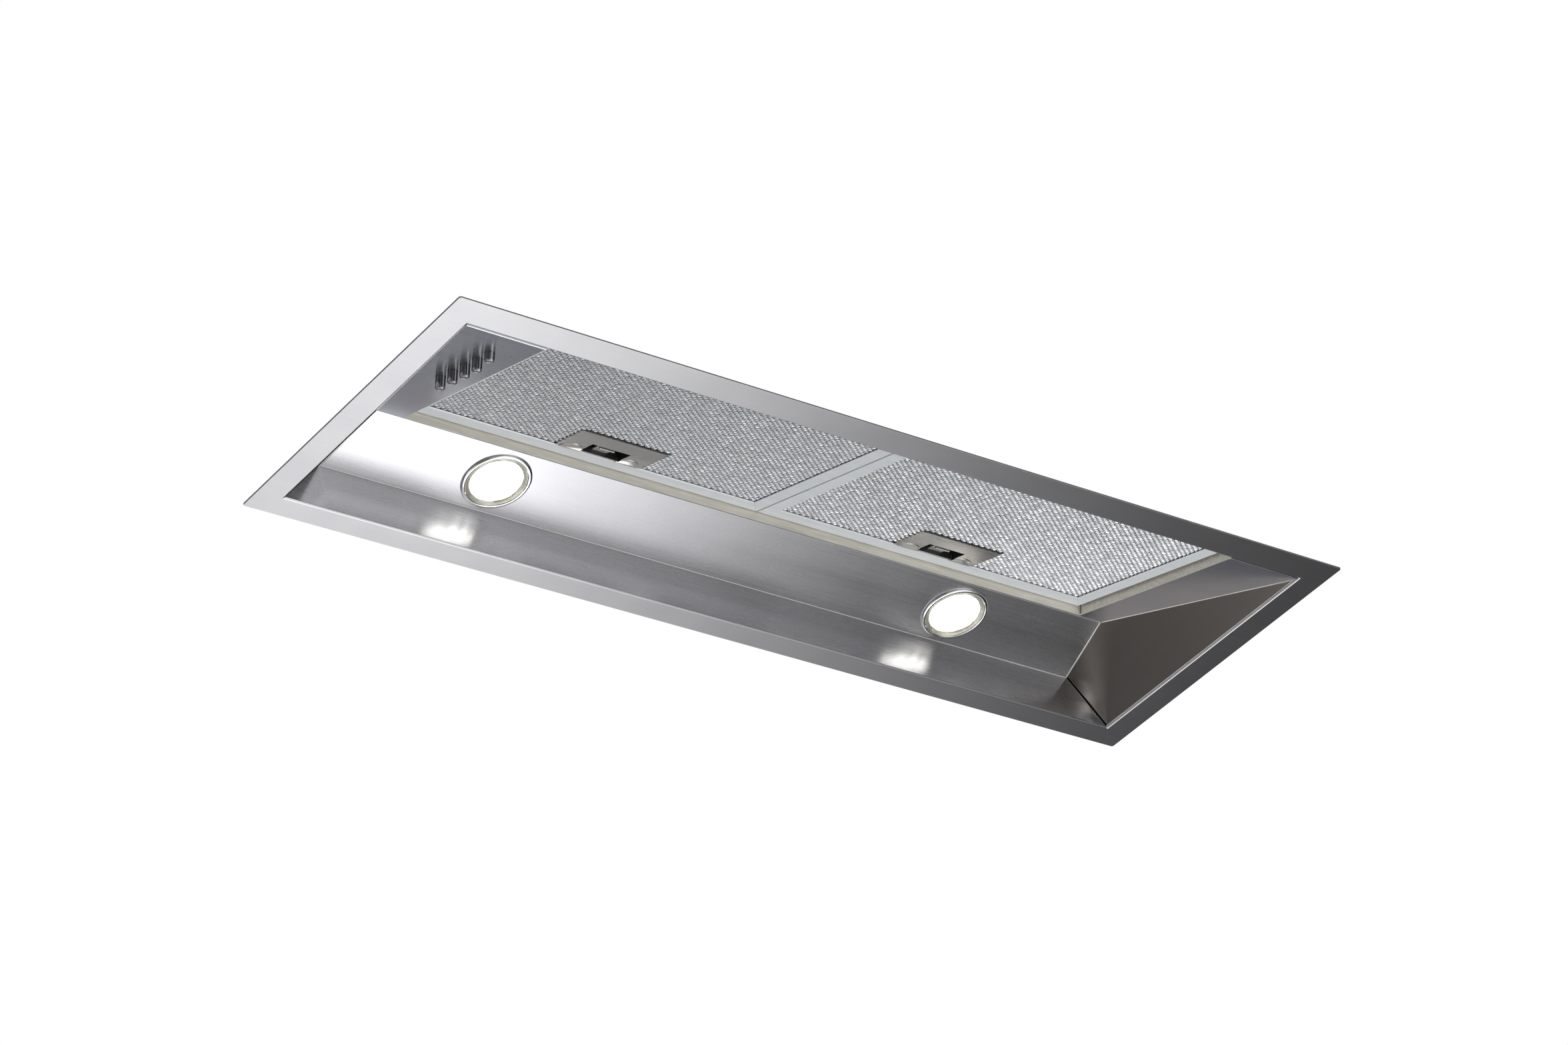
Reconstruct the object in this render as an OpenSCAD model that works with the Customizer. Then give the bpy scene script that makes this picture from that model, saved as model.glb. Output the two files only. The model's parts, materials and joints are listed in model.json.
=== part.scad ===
// Undermount range hood with two latching mesh filters, two lamps and a push button row.
// Millimetres. +Z is up, -Y is the side that faces the cook, and the origin is at the
// centre of the flange's underside.

/* [Flange] */
// Length of the visible flange along X
flange_l = 860; // [800:1:940]
// Width of the visible flange along Y
flange_w = 294; // [290:1:298]
// Thickness of the flange's sheet, which is folded double at the rim
flange_sheet_t = 0.8; // [0.6:0.1:1]
// Corner radius of the flange
flange_corner_r = 2; // [1:0.5:4]
// Flange border at each end
border_end = 24; // [24:1:30]
// Flange border along the rear edge
border_rear = 26; // [25:0.5:27]
// Flange border along the front edge
border_front = 22; // [21:0.5:23]

/* [Canopy] */
// Slope of the filter deck
deck_tilt = 16.4; // [15.5:0.1:17.5]
// Width of the deck beside the filters at each end
deck_end_w = 71.35; // [69:0.05:76]
// Height of the deck's lower edge over the flange's underside
deck_rise = 0.3; // [0.2:0.1:0.5]
// Length of the lamp panel from the fold to its crease
lamp_panel_l = 65.9; // [63:0.1:68]
// Backward tilt of the lamp panel
lamp_tilt = 11.9; // [10:0.1:14]
// Lean of the end cheeks from the vertical
end_lean = 41.5; // [38:0.1:43]
// Height of the upright foot of the end cheeks
cheek_foot = 1.2; // [0.6:0.1:2]
// Sheet thickness of the visible panels
sheet_t = 1; // [0.8:0.1:1.2]
// Seam between the lamp panel and the end cheeks
seam_gap = 1.5; // [0.8:0.1:2]
// Height of the turned up walls round the filter opening
return_h = 18; // [17:0.5:20]
// Slit between the turned up walls at the front corners
corner_slit = 1.3; // [0.6:0.1:2]

/* [Filters] */
// Thickness of a filter frame
filter_t = 9; // [8.6:0.1:9.4]
// Width of the filter frame's border at its front and rear
filter_border = 15; // [13:0.5:16]
// Width of the filter frame's border at its ends
filter_border_end = 13; // [12:0.5:15]
// Wall of the folded filter frame
filter_skin = 0.8; // [0.6:0.1:1]
// Recess of the filters above the deck's lower face
filter_recess = 7; // [6.8:0.1:7.5]
// Length of filter that is tucked under the rear border
filter_tail = 6; // [5.5:0.1:6]
// Gap between the two filters
filter_gap = 1.3; // [0.8:0.1:2]
// Gap between a filter and the opening's end wall
filter_side_gap = 3; // [2:0.5:4]
// Gap between a filter and the opening's front wall
filter_front_gap = 0.8; // [0.6:0.1:1]
// Columns of gaps in the filter net
net_columns = 24; // [16:1:24]
// Rows of gaps in the filter net
net_rows = 12; // [8:1:12]
// Width of a strand of the net
net_strand = 2.6; // [2:0.1:3.4]
// Thickness of the net
net_t = 2.4; // [1.6:0.2:4]

/* [Filter pulls] */
// Width of the stamped pull plate
pull_w = 80; // [72:1:88]
// Depth of the stamped pull plate along the slope
pull_d = 38; // [36:1:40]
// Width of the finger pocket
pocket_w = 36; // [32:1:40]
// Depth of the finger pocket along the slope
pocket_d = 17; // [16.5:0.5:18]
// Height of the finger pocket
pocket_h = 8; // [7.6:0.1:8.2]
// Width of the sliding latch
latch_w = 14; // [12:1:16]
// Thickness of the sliding latch
latch_t = 1.4; // [1.2:0.1:1.6]
// Travel of the sliding latch
latch_travel = 5.5; // [5.2:0.1:5.6]

/* [Lamps] */
// Distance of each lamp from the end of the canopy
lamp_inset = 178.7; // [150:0.1:220]
// Radius of the lamp's bezel ring
lamp_ring_r = 28.6; // [27.5:0.1:29.5]
// Radius of the hole for a lamp
lamp_hole_r = 26; // [25:0.1:26.5]
// Height of the lamp's heat sink
lamp_body_h = 24; // [18:1:30]

/* [Buttons] */
// Distance of the button row from the filter opening
button_inset = 26.65; // [25.6:0.05:27.5]
// Place of the rearmost button along the deck's slope
button_s = 35.8; // [32:0.5:40]
// Spacing of the buttons
button_pitch = 16; // [14:0.5:17]
// Radius of a button
button_r = 3.9; // [3.4:0.1:4.4]
// How far a released button stands out of the deck
button_out = 10; // [8:0.5:10]
// Travel of a button
button_travel = 3.2; // [2.4:0.1:4]

/* [Housing] */
// Height of the housing over the fold of the canopy
housing_rise = 184.3; // [183:0.1:206]
// Inset of the housing from each end of the flange
body_inset_end = 22; // [21:0.5:22]
// Inset of the housing from the flange's front and rear edges
body_inset_side = 12; // [11.5:0.5:12]
// Sheet thickness of the housing
wall_t = 0.8; // [0.6:0.1:1]

/* [Blower] */
// Outer radius of the impeller
impeller_r = 58; // [54:1:60]
// Number of blades of the impeller
impeller_blades = 40; // [24:2:44]
// Width of the impeller to each side of its middle disc
impeller_half_w = 50; // [46:1:50]
// Inner half width of the scroll
scroll_half_w = 57; // [56:1:58]
// Wall of the moulded scroll
scroll_t = 2; // [1.6:0.1:2.4]
// Radius of the motor
motor_r = 40; // [34:1:41]
// Radius of the motor shaft
shaft_r = 4; // [3:0.5:5]

/* [Duct] */
// Outer radius of the duct collar
duct_r = 74.5; // [74:0.1:76]
// Wall of the duct collar
duct_wall = 1.5; // [1.2:0.1:2]
// Height of the duct collar over the top cover
duct_h = 40; // [34:1:60]
// Place of the duct collar along Y
duct_y = 22; // [20:0.5:24]
// Radius of the flap pin
flap_pin_r = 2; // [1.5:0.1:2.5]
// Radius of the cable that the gland takes
cable_r = 4.5; // [3:0.1:5]

/* [Hidden] */
$fn = 64;

// Clearances
seat = 0.2;           // between fixed pieces that lie on each other
run_gap = 0.06;       // radial running fit of a pin in its bore
slide_gap = 0.3;      // between a sliding piece and its guide
hem_gap = 1.5;        // between the folded rim and the housing
cut = 1;              // how far a cutter runs past what it cuts

// Places of the canopy
flange_t = 2 * flange_sheet_t;
open_x = flange_l / 2 - border_end;
open_rear_y = flange_w / 2 - border_rear;
open_front_y = -flange_w / 2 + border_front;
fold_y = open_front_y + lamp_panel_l * cos(lamp_tilt);
deck_len = (open_rear_y - fold_y) / cos(deck_tilt);
fold_z = deck_rise + deck_len * sin(deck_tilt);
crease_z = fold_z - lamp_panel_l * sin(lamp_tilt);
fold_lip = 1.4;                               // deck left between the opening and the fold
opening_s = deck_len - fold_lip;              // front edge of the filter opening on the slope
opening_x = open_x - deck_end_w;
deck_start_s = 0.6;                           // rear edge of the deck on the slope
hem_r = 0.9;                                  // folded hem along the deck's rear edge

// Places of the filters, measured on the deck's slope
filter_w = opening_x - filter_side_gap - filter_gap / 2;
filter_s0 = -filter_tail;
filter_s1 = opening_s - filter_front_gap;
filter_w0 = filter_recess;
filter_w1 = filter_recess + filter_t;
filter_cx = filter_gap / 2 + filter_w / 2;
window_s0 = filter_s0 + filter_border;
window_s1 = filter_s1 - filter_border;
pull_s1 = window_s1 - seat / 2;
pull_s0 = pull_s1 - pull_d;
pull_t = 0.8;
pocket_s1 = pull_s1 - 2.4;
pocket_s0 = pocket_s1 - pocket_d;
pocket_wall = 0.8;
tongue_reach = 4.7;                           // of the latch past the opening's front wall
latch_s0 = pocket_s0 + latch_travel + 0.5;
latch_s1 = opening_s + tongue_reach;
latch_w0 = filter_w0 + 3.6;
latch_w1 = latch_w0 + latch_t;
window_l = 12.7;                              // of the latch's spring window
spring_s1 = filter_s1 - 2.5;
lug_s = spring_s1 - 11.9;                     // fixed lug that the spring pushes on
lug_t = 0.8;
pivot_s = filter_s0 + 2;                      // line about which a filter swings open
ledge_t = 1;

// Places of the housing
body_x = flange_l / 2 - body_inset_end;
body_y = flange_w / 2 - body_inset_side;
body_top = round(fold_z + housing_rise);      // upper face of the top cover
bottom_lip = 7;
top_lip = 12;
cover_z = body_top - wall_t;                  // underside of the top cover
cover_screw_x = body_x - 107;                 // outer screws along the cover's long edges
cover_hole_r = 1.8;
rear_hole_x = 250;                            // fixing holes in the rear wall
rear_hole_z = [120, 190];
rear_hole_r = 2.75;
clip_hole_y = 18;
clip_hole_z = 60;
clip_hole_r = 2.2;

// Places of the blower
impeller_back = 60;                           // of the blower's axis from the duct's axis
impeller_drop = 84;                           // of the blower's axis under the top cover
impeller_y = duct_y - impeller_back;
impeller_z = body_top - impeller_drop;
tongue_gap = 7;
scroll_growth = 8;                            // radius gained in each quarter turn
scroll_start = 60;                            // angle of the scroll's tongue
scroll_end = 360;                             // angle where the scroll runs out
shell_start = 82.5;                           // angle where its outer skin starts
outlet_half = 44;
scroll_top = cover_z - seat;
inlet_r = impeller_r - 8;
bracket_x = -scroll_half_w - scroll_t - 7;
arm_t = 2.5;
arm_r = inlet_r + 12;
arm_angles = [60, 180, 300];
motor_x0 = bracket_x - 12;                    // outer end of the motor
motor_x1 = -9;                                // inner end of the motor
hub_x = -3;                                   // ends of the impeller's hub
hub_l = 13;
rim_t = 4;                                    // of the scroll's top rim

// Places of the duct collar and the cable
flap_z = body_top + 12;
flap_pin_l = 2 * (duct_r - duct_wall / 2);
collar_hole_r = 2.2;
collar_base_t = 1.5;
terminal_x = 300;
terminal_l = 72;
terminal_w = 50;
gland_x = 250;
gland_y = 70;
gland_r = 8;
gland_flange_r = 12;
gland_below = 12;                             // of the gland under the top cover

// Places of the lamps and buttons
lamp_x = open_x - lamp_inset;
lamp_d = lamp_panel_l / 2 + 0.35;             // of each lamp from the fold
button_x = opening_x + button_inset;
driver_x = 77;                                // of the lamp driver from the housing's left end
driver_y = 35;                                // and from its front
lamp_lip_w = 2;                               // how far the bezel stands below the panel
bezel_w = 3.2;                                // of the bezel round the lens
lamp_body_r = lamp_hole_r - 0.7;
button_collar_r = button_r + 1.1;
collar_foot = 3;                              // of a released button's collar over the deck
collar_top = 4.5;
button_in = 9;                                // of a button inside the switch block
button_count = 5;
switch_half_w = 11.5;
switch_h = 24;
switch_base = sheet_t + 0.05;                 // foot of the block on the deck
switch_roof = switch_h - 2;                   // underside of its roof over the foot
switch_end = 8;                               // of the block past the outer buttons
ear_w = 7;
ear_t = 2.5;
switch_hole_r = 1.3;

steel = [0.74, 0.74, 0.74];
dull_steel = [0.62, 0.62, 0.61];
zinc = [0.66, 0.68, 0.70];
aluminium = [0.78, 0.80, 0.82];
chrome = [0.88, 0.88, 0.90];
black = [0.12, 0.12, 0.13];
dark_grey = [0.30, 0.31, 0.33];
lens_white = [0.95, 0.96, 0.97, 0.6];

// Frame on the deck's lower face: X along the hood, -Y up the slope, Z out of the top
module on_deck() {
    translate([0, open_rear_y, deck_rise]) rotate([-deck_tilt, 0, 0]) children();
}

// Frame on the lamp panel's lower face: X along the hood, -Y away from the fold
module on_lamp_panel() {
    translate([0, fold_y, fold_z]) rotate([lamp_tilt, 0, 0]) children();
}

// Box in the deck's frame, from s0 to s1 up the slope and w0 to w1 above the lower face
module deck_box(x0, x1, s0, s1, w0, w1) {
    translate([x0, -s1, w0]) cube([x1 - x0, s1 - s0, w1 - w0]);
}

// Room between the end cheeks, drawn back from them by gap
module between_cheeks(gap) {
    high = 120;
    low = -20;
    lean = tan(end_lean);
    x0 = open_x - gap;
    foot_z = flange_sheet_t + cheek_foot;
    translate([0, flange_w / 2, 0]) rotate([90, 0, 0]) linear_extrude(flange_w)
        polygon([
            [-x0, low], [x0, low], [x0, foot_z], [x0 - lean * high, foot_z + high],
            [-x0 + lean * high, foot_z + high], [-x0, foot_z]
        ]);
}

// Rounded rectangle centred on the origin
module rounded_plate(l, w, r, t) {
    linear_extrude(t) union() {
        square([l - 2 * r, w], center = true);
        square([l, w - 2 * r], center = true);
        for (x = [-1, 1], y = [-1, 1]) translate([x * (l / 2 - r), y * (w / 2 - r)]) circle(r);
    }
}

// Pan head screw along Z, its head above z = 0
module screw(head_r, head_h, shank_r, shank_l) {
    cylinder(r = head_r, h = head_h);
    translate([0, 0, -shank_l]) cylinder(r = shank_r, h = shank_l + 0.1);
}

// Helical spring along Z as one unbroken tube of six sides
module coil_spring(radius, wire_r, length, turns) {
    rings = 8 * turns;
    sides = 6;
    pitch = (length - 2 * wire_r) / turns;
    slope = atan(pitch / (2 * PI * radius));
    function ring_point(i, j) =
        let (turn = 360 * i / 8, side = 360 * j / sides,
             out = radius + wire_r * cos(side),
             up = wire_r + pitch * i / 8 + wire_r * sin(side) * cos(slope),
             along = -wire_r * sin(side) * sin(slope))
        [out * cos(turn) - along * sin(turn), out * sin(turn) + along * cos(turn), up];
    points = [for (i = [0:rings], j = [0:sides - 1]) ring_point(i, j)];
    walls = [for (i = [0:rings - 1], j = [0:sides - 1])
        let (a = i * sides + j, b = i * sides + (j + 1) % sides)
        each [[a, b + sides, b], [a, a + sides, b + sides]]];
    ends = [for (j = [1:sides - 2]) each [
        [0, j, j + 1],
        [rings * sides, rings * sides + j + 1, rings * sides + j]
    ]];
    polyhedron(points, concat(walls, ends));
}

// Bright rim under the cupboard, open over the whole canopy, its edge folded double
module flange_frame() {
    hem_x = body_x + hem_gap;
    hem_y = body_y + hem_gap;
    color(steel) difference() {
        rounded_plate(flange_l, flange_w, flange_corner_r, flange_t);
        translate([-hem_x, -hem_y, flange_sheet_t]) cube([2 * hem_x, 2 * hem_y, flange_t]);
        translate([-open_x, open_front_y, -cut])
            cube([2 * open_x, open_rear_y - open_front_y, flange_t + 2 * cut]);
    }
}

// Sloping panel round both filters, with the control strip and the turned up walls
module filter_deck() {
    window_w = latch_w + 2;
    color(dull_steel) difference() {
        intersection() {
            between_cheeks(seat);
            on_deck() union() {
                difference() {
                    deck_box(-open_x, open_x, deck_start_s, deck_len - seat, 0, sheet_t);
                    deck_box(-opening_x, opening_x, -cut, opening_s, -cut, sheet_t + cut);
                }
                for (side = [-1, 1]) {
                    x0 = side > 0 ? opening_x : -open_x;
                    translate([x0, -deck_start_s - hem_r, sheet_t - hem_r]) rotate([0, 90, 0])
                        cylinder(r = hem_r, h = open_x - opening_x);
                    wall_x = side > 0 ? opening_x : -opening_x - sheet_t;
                    deck_box(wall_x, wall_x + sheet_t, deck_start_s + hem_r, opening_s - corner_slit,
                        0, return_h);
                }
                deck_box(-opening_x - sheet_t, opening_x + sheet_t, opening_s,
                    opening_s + sheet_t, 0, return_h);
            }
        }
        on_deck() union() {
            for (side = [-1, 1])
                deck_box(side * filter_cx - window_w / 2, side * filter_cx + window_w / 2,
                    opening_s - cut, opening_s + sheet_t + cut, latch_w0 - 0.6, latch_w1 + 0.6);
            for (i = [0:button_count - 1]) translate([button_x, -button_place(i), -cut])
                cylinder(r = button_r + slide_gap, h = sheet_t + 2 * cut);
            for (place = switch_screw_places()) translate([place[0], -place[1], -cut])
                cylinder(r = switch_hole_r, h = sheet_t + 2 * cut);
        }
    }
}

function button_place(i) = button_s + i * button_pitch;
function switch_s0() = button_s - switch_end;
function switch_s1() = button_place(button_count - 1) + switch_end;
function switch_screw_places() = [
    for (s = [switch_s0() + switch_end / 2, switch_s1() - switch_end / 2], side = [-1, 1])
        [button_x + side * (switch_half_w + ear_w / 2), s]
];

// Tilted lamp strip and the upright wall behind it, folded from one sheet
module lamp_panel() {
    color(steel) difference() {
        intersection() {
            between_cheeks(seam_gap);
            union() {
                on_lamp_panel() translate([-open_x, -lamp_panel_l - sheet_t, 0])
                    cube([2 * open_x, lamp_panel_l + sheet_t - seat, sheet_t]);
                translate([-open_x, open_front_y - sheet_t, flange_sheet_t + seat / 2])
                    cube([2 * open_x, sheet_t, crease_z - flange_sheet_t + sheet_t / 2]);
            }
        }
        on_lamp_panel() for (side = [-1, 1]) translate([side * lamp_x, -lamp_d, -cut])
            cylinder(r = lamp_hole_r, h = sheet_t + 2 * cut);
    }
}

// Slanted cheek at one end of the canopy, on a low upright foot
module end_panel(side) {
    lean = tan(end_lean);
    across = sheet_t / cos(end_lean);
    foot = flange_sheet_t + seat / 2;
    bend_z = flange_sheet_t + cheek_foot;
    high = fold_z + sheet_t;
    top_x = open_x - lean * (high - bend_z);
    wall_x = body_x - wall_t - seat;
    front = open_front_y - sheet_t;
    color(dull_steel) mirror([side > 0 ? 0 : 1, 0, 0]) intersection() {
        translate([0, flange_w / 2, 0]) rotate([90, 0, 0]) linear_extrude(flange_w)
            polygon([
                [open_x, foot], [wall_x, foot], [wall_x, bend_z + (open_x + across - wall_x) / lean],
                [top_x + across, high], [top_x, high], [open_x, bend_z]
            ]);
        rotate([90, 0, 90]) linear_extrude(open_x + across)
            polygon([
                [open_rear_y - 2, foot],
                [fold_y + sheet_t * sin(deck_tilt), fold_z + sheet_t * cos(deck_tilt)],
                [front, crease_z + sheet_t], [front, foot]
            ]);
    }
}

module left_end_panel() { end_panel(-1); }
module right_end_panel() { end_panel(1); }

// Channel behind the rear border that holds the rear edge of both filters
module filter_rail() {
    half = opening_x - seat;
    back = filter_s0 - 2;
    foot_z = flange_sheet_t + wall_t + seat;
    foot_w = (foot_z - deck_rise - back * sin(deck_tilt)) / cos(deck_tilt);
    color(zinc) on_deck() union() {
        deck_box(-half, half, back, pivot_s - seat - 0.1, filter_w0 - 0.3 - ledge_t, filter_w0 - 0.3);
        deck_box(-half, half, back, back + 1, foot_w, filter_w1 + 2);
        deck_box(-half, half, back, filter_s0 + 3, filter_w1 + 1, filter_w1 + 2);
    }
}

// Four walls of the housing with their turned in lips
module housing_shell() {
    inner_x = body_x - wall_t;
    inner_y = body_y - wall_t;
    color(zinc) difference() {
        translate([-body_x, -body_y, flange_sheet_t])
            cube([2 * body_x, 2 * body_y, cover_z - flange_sheet_t]);
        translate([-inner_x, -inner_y, flange_sheet_t + wall_t])
            cube([2 * inner_x, 2 * inner_y, cover_z - flange_sheet_t - 2 * wall_t]);
        translate([-inner_x, -inner_y + bottom_lip, 0])
            cube([2 * inner_x, 2 * inner_y - 2 * bottom_lip, flange_sheet_t + 2 * wall_t]);
        translate([-inner_x + top_lip, -inner_y + top_lip, cover_z - 2 * wall_t])
            cube([2 * (inner_x - top_lip), 2 * (inner_y - top_lip), 4 * wall_t]);
        for (place = cover_screw_places()) translate([place[0], place[1], cover_z - 2 * wall_t])
            cylinder(r = 1.6, h = 4 * wall_t);
        for (x = [-rear_hole_x, rear_hole_x], z = rear_hole_z) translate([x, inner_y - cut, z])
            rotate([-90, 0, 0]) cylinder(r = rear_hole_r, h = wall_t + 2 * cut);
        for (side = [-1, 1], y = [-clip_hole_y, clip_hole_y])
            translate([side * inner_x - side * cut, y, clip_hole_z]) rotate([0, side * 90, 0])
                cylinder(r = clip_hole_r, h = wall_t + 2 * cut);
    }
}

function cover_screw_places() = concat(
    [for (x = [-cover_screw_x, 0, cover_screw_x], y = [-1, 1])
        [x, y * (body_y - wall_t - top_lip / 2)]],
    [for (side = [-1, 1]) [side * (body_x - wall_t - top_lip / 2), 0]]);

module top_cover() {
    color(zinc) difference() {
        translate([-body_x, -body_y, cover_z]) cube([2 * body_x, 2 * body_y, wall_t]);
        translate([0, duct_y, cover_z - cut]) cylinder(r = duct_r - duct_wall, h = wall_t + 2 * cut);
        for (place = cover_screw_places()) translate([place[0], place[1], cover_z - cut])
            cylinder(r = cover_hole_r, h = wall_t + 2 * cut);
        for (place = collar_screw_places()) translate([place[0], place[1], cover_z - cut])
            cylinder(r = collar_hole_r, h = wall_t + 2 * cut);
        translate([gland_x, gland_y, cover_z - cut]) cylinder(r = gland_r + 0.2, h = wall_t + 2 * cut);
    }
}

module cover_screws() {
    color(chrome) for (place = cover_screw_places())
        translate([place[0], place[1], body_top + 0.05]) screw(3.4, 2, 1.45, 6);
}

// Folded aluminium channel round one filter
module filter_frame(side) {
    color(aluminium) on_deck() translate([side * filter_cx, 0, 0]) difference() {
        deck_box(-filter_w / 2, filter_w / 2, filter_s0, filter_s1, filter_w0, filter_w1);
        deck_box(-filter_w / 2 + filter_skin, filter_w / 2 - filter_skin, filter_s0 + filter_skin,
            filter_s1 - filter_skin, filter_w0 + filter_skin, filter_w1 - filter_skin);
        deck_box(-filter_w / 2 + filter_border_end, filter_w / 2 - filter_border_end, window_s0,
            window_s1, filter_w0 - cut, filter_w1 + cut);
        deck_box(-latch_w / 2 - slide_gap, latch_w / 2 + slide_gap, filter_s1 - 2 * filter_skin,
            filter_s1 + cut, latch_w0 - slide_gap, latch_w1 + slide_gap);
    }
}

module left_filter_frame() { filter_frame(-1); }
module right_filter_frame() { filter_frame(1); }

// Expanded aluminium net that fills one filter, cut away round the pull
module filter_mesh(side) {
    edge = filter_skin + seat;
    window_w = filter_w - 2 * filter_border_end;
    window_l = window_s1 - window_s0;
    step_x = window_w / net_columns;
    step_s = window_l / net_rows;
    clear = 1;
    color(aluminium) on_deck() translate([side * filter_cx, 0, filter_w0 + filter_skin + seat])
        linear_extrude(net_t) difference() {
            translate([-filter_w / 2 + edge, -filter_s1 + edge])
                square([filter_w - 2 * edge, filter_s1 - filter_s0 - 2 * edge]);
            translate([-pull_w / 2 - clear, -filter_s1])
                square([pull_w + 2 * clear, filter_s1 - pull_s0 + clear]);
            for (i = [0:net_columns - 1], j = [0:net_rows - 1]) {
                x = -window_w / 2 + (i + 0.5) * step_x;
                s = window_s0 + (j + 0.5) * step_s;
                near_pull = abs(x) < pull_w / 2 + clear + step_x / 2 && s > pull_s0 - clear - step_s / 2;
                if (!near_pull) translate([x, -s]) polygon([
                    [-(step_x - net_strand) / 2, 0], [0, -(step_s - net_strand) / 2],
                    [(step_x - net_strand) / 2, 0], [0, (step_s - net_strand) / 2]
                ]);
            }
        }
}

module left_filter_mesh() { filter_mesh(-1); }
module right_filter_mesh() { filter_mesh(1); }

// Stamped plate with the finger pocket, its rim bent up into the net
module filter_handle(side) {
    rim_h = 4;
    boss_r = 10.5;
    tab_w = 72;
    pocket_top = filter_w0 + pocket_h - pocket_wall;
    color(dull_steel) on_deck() translate([side * filter_cx, 0, 0]) difference() {
        union() {
            deck_box(-pull_w / 2, pull_w / 2, pull_s0, pull_s1, filter_w0, filter_w0 + pull_t);
            deck_box(-pull_w / 2, pull_w / 2, pull_s0, pull_s0 + pull_t, filter_w0, filter_w0 + rim_h);
            for (end = [0, 1]) deck_box(-pull_w / 2 + end * (pull_w - pull_t),
                -pull_w / 2 + pull_t + end * (pull_w - pull_t), pull_s0, pull_s1 - 3, filter_w0,
                filter_w0 + rim_h);
            deck_box(-tab_w / 2, tab_w / 2, pull_s1 - 3, filter_s1 - filter_skin - 1.4,
                filter_w0 + filter_skin + 0.05, filter_w0 + filter_skin + 0.85);
            deck_box(-tab_w / 2, tab_w / 2, pull_s1 - 3, pull_s1, filter_w0,
                filter_w0 + filter_skin + 0.85);
            deck_box(-pocket_w / 2 - pocket_wall, pocket_w / 2 + pocket_wall, pocket_s0 - pocket_wall,
                pocket_s1 + pocket_wall, filter_w0, filter_w0 + pocket_h);
            deck_box(-2.5, 2.5, lug_s - lug_t, lug_s, filter_w0 + filter_skin, latch_w1 + 1.6);
            intersection() {
                for (end = [-1, 1]) translate([end * 26.5, -pull_s1, filter_w0 - 0.5])
                    cylinder(r = boss_r, h = 0.6);
                deck_box(-pull_w / 2, pull_w / 2, pull_s0, pull_s1, filter_w0 - 0.5, filter_w0 + 0.3);
            }
        }
        deck_box(-pocket_w / 2, pocket_w / 2, pocket_s0, pocket_s1, filter_w0 - cut, pocket_top);
        deck_box(-latch_w / 2 - slide_gap, latch_w / 2 + slide_gap, pocket_s1 - cut,
            pocket_s1 + 2 * cut, latch_w0 - slide_gap, latch_w1 + slide_gap);
    }
}

module left_filter_handle() { filter_handle(-1); }
module right_filter_handle() { filter_handle(1); }

// Sliding bolt with a finger tab in the pocket and a bevelled tongue
module filter_latch(side) {
    tab_t = 1.5;
    bevel = 3;
    color(chrome) on_deck() translate([side * filter_cx, 0, 0]) difference() {
        union() {
            deck_box(-latch_w / 2, latch_w / 2, latch_s0, latch_s1, latch_w0, latch_w1);
            deck_box(-latch_w / 2, latch_w / 2, latch_s0, latch_s0 + tab_t,
                filter_w0 + 1.2, latch_w1);
        }
        deck_box(-3, 3, spring_s1 - window_l, spring_s1, latch_w0 - cut, latch_w1 + cut);
        for (end = [-1, 1]) translate([end * latch_w / 2, -latch_s1, latch_w0 - cut])
            rotate([0, 0, 45]) translate([-bevel / 2, -bevel / 2, 0])
                cube([bevel, bevel, latch_t + 2 * cut]);
    }
}

module left_filter_latch() { filter_latch(-1); }
module right_filter_latch() { filter_latch(1); }

// Spring between the handle's fixed lug and the end of the latch's window
module latch_spring(side) {
    spring_l = spring_s1 - lug_s - 0.2;
    color(chrome) on_deck()
        translate([side * filter_cx, -lug_s - 0.1, (latch_w0 + latch_w1) / 2])
        rotate([90, 0, 0]) coil_spring(1.6, 0.3, spring_l, 6);
}

module left_latch_spring() { latch_spring(-1); }
module right_latch_spring() { latch_spring(1); }

// Frame on one lamp's axis
module on_lamp(side) {
    on_lamp_panel() translate([side * lamp_x, -lamp_d, 0]) children();
}

// Chrome bezel that drops through the hole from below
module lamp_ring(side) {
    neck_r = lamp_hole_r - slide_gap;
    inner_r = lamp_ring_r - bezel_w;
    neck_h = 4;
    ledge_z = 3.2;
    color(chrome) on_lamp(side) rotate_extrude() polygon([
        [inner_r, -lamp_lip_w + 0.3], [lamp_ring_r - 1.8, -lamp_lip_w],
        [lamp_ring_r - 0.5, -lamp_lip_w + 0.5], [lamp_ring_r, -0.6], [lamp_ring_r, -0.05],
        [neck_r, -0.05], [neck_r, neck_h], [inner_r - 0.5, neck_h], [inner_r - 0.5, ledge_z],
        [inner_r, ledge_z]
    ]);
}

module left_lamp_ring() { lamp_ring(-1); }
module right_lamp_ring() { lamp_ring(1); }

// Stepped lens inside the bezel
module lamp_lens(side) {
    lens_r = lamp_ring_r - bezel_w - seat;
    lens_z = 0.6;
    rim_z = -1.2;
    back_z = 2.9;
    color(lens_white) on_lamp(side) rotate_extrude() polygon([
        [0, lens_z], [lens_r - 6, lens_z], [lens_r - 4.5, -lens_z], [lens_r - 3, rim_z],
        [lens_r, rim_z], [lens_r, back_z], [0, back_z]
    ]);
}

module left_lamp_lens() { lamp_lens(-1); }
module right_lamp_lens() { lamp_lens(1); }

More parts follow.
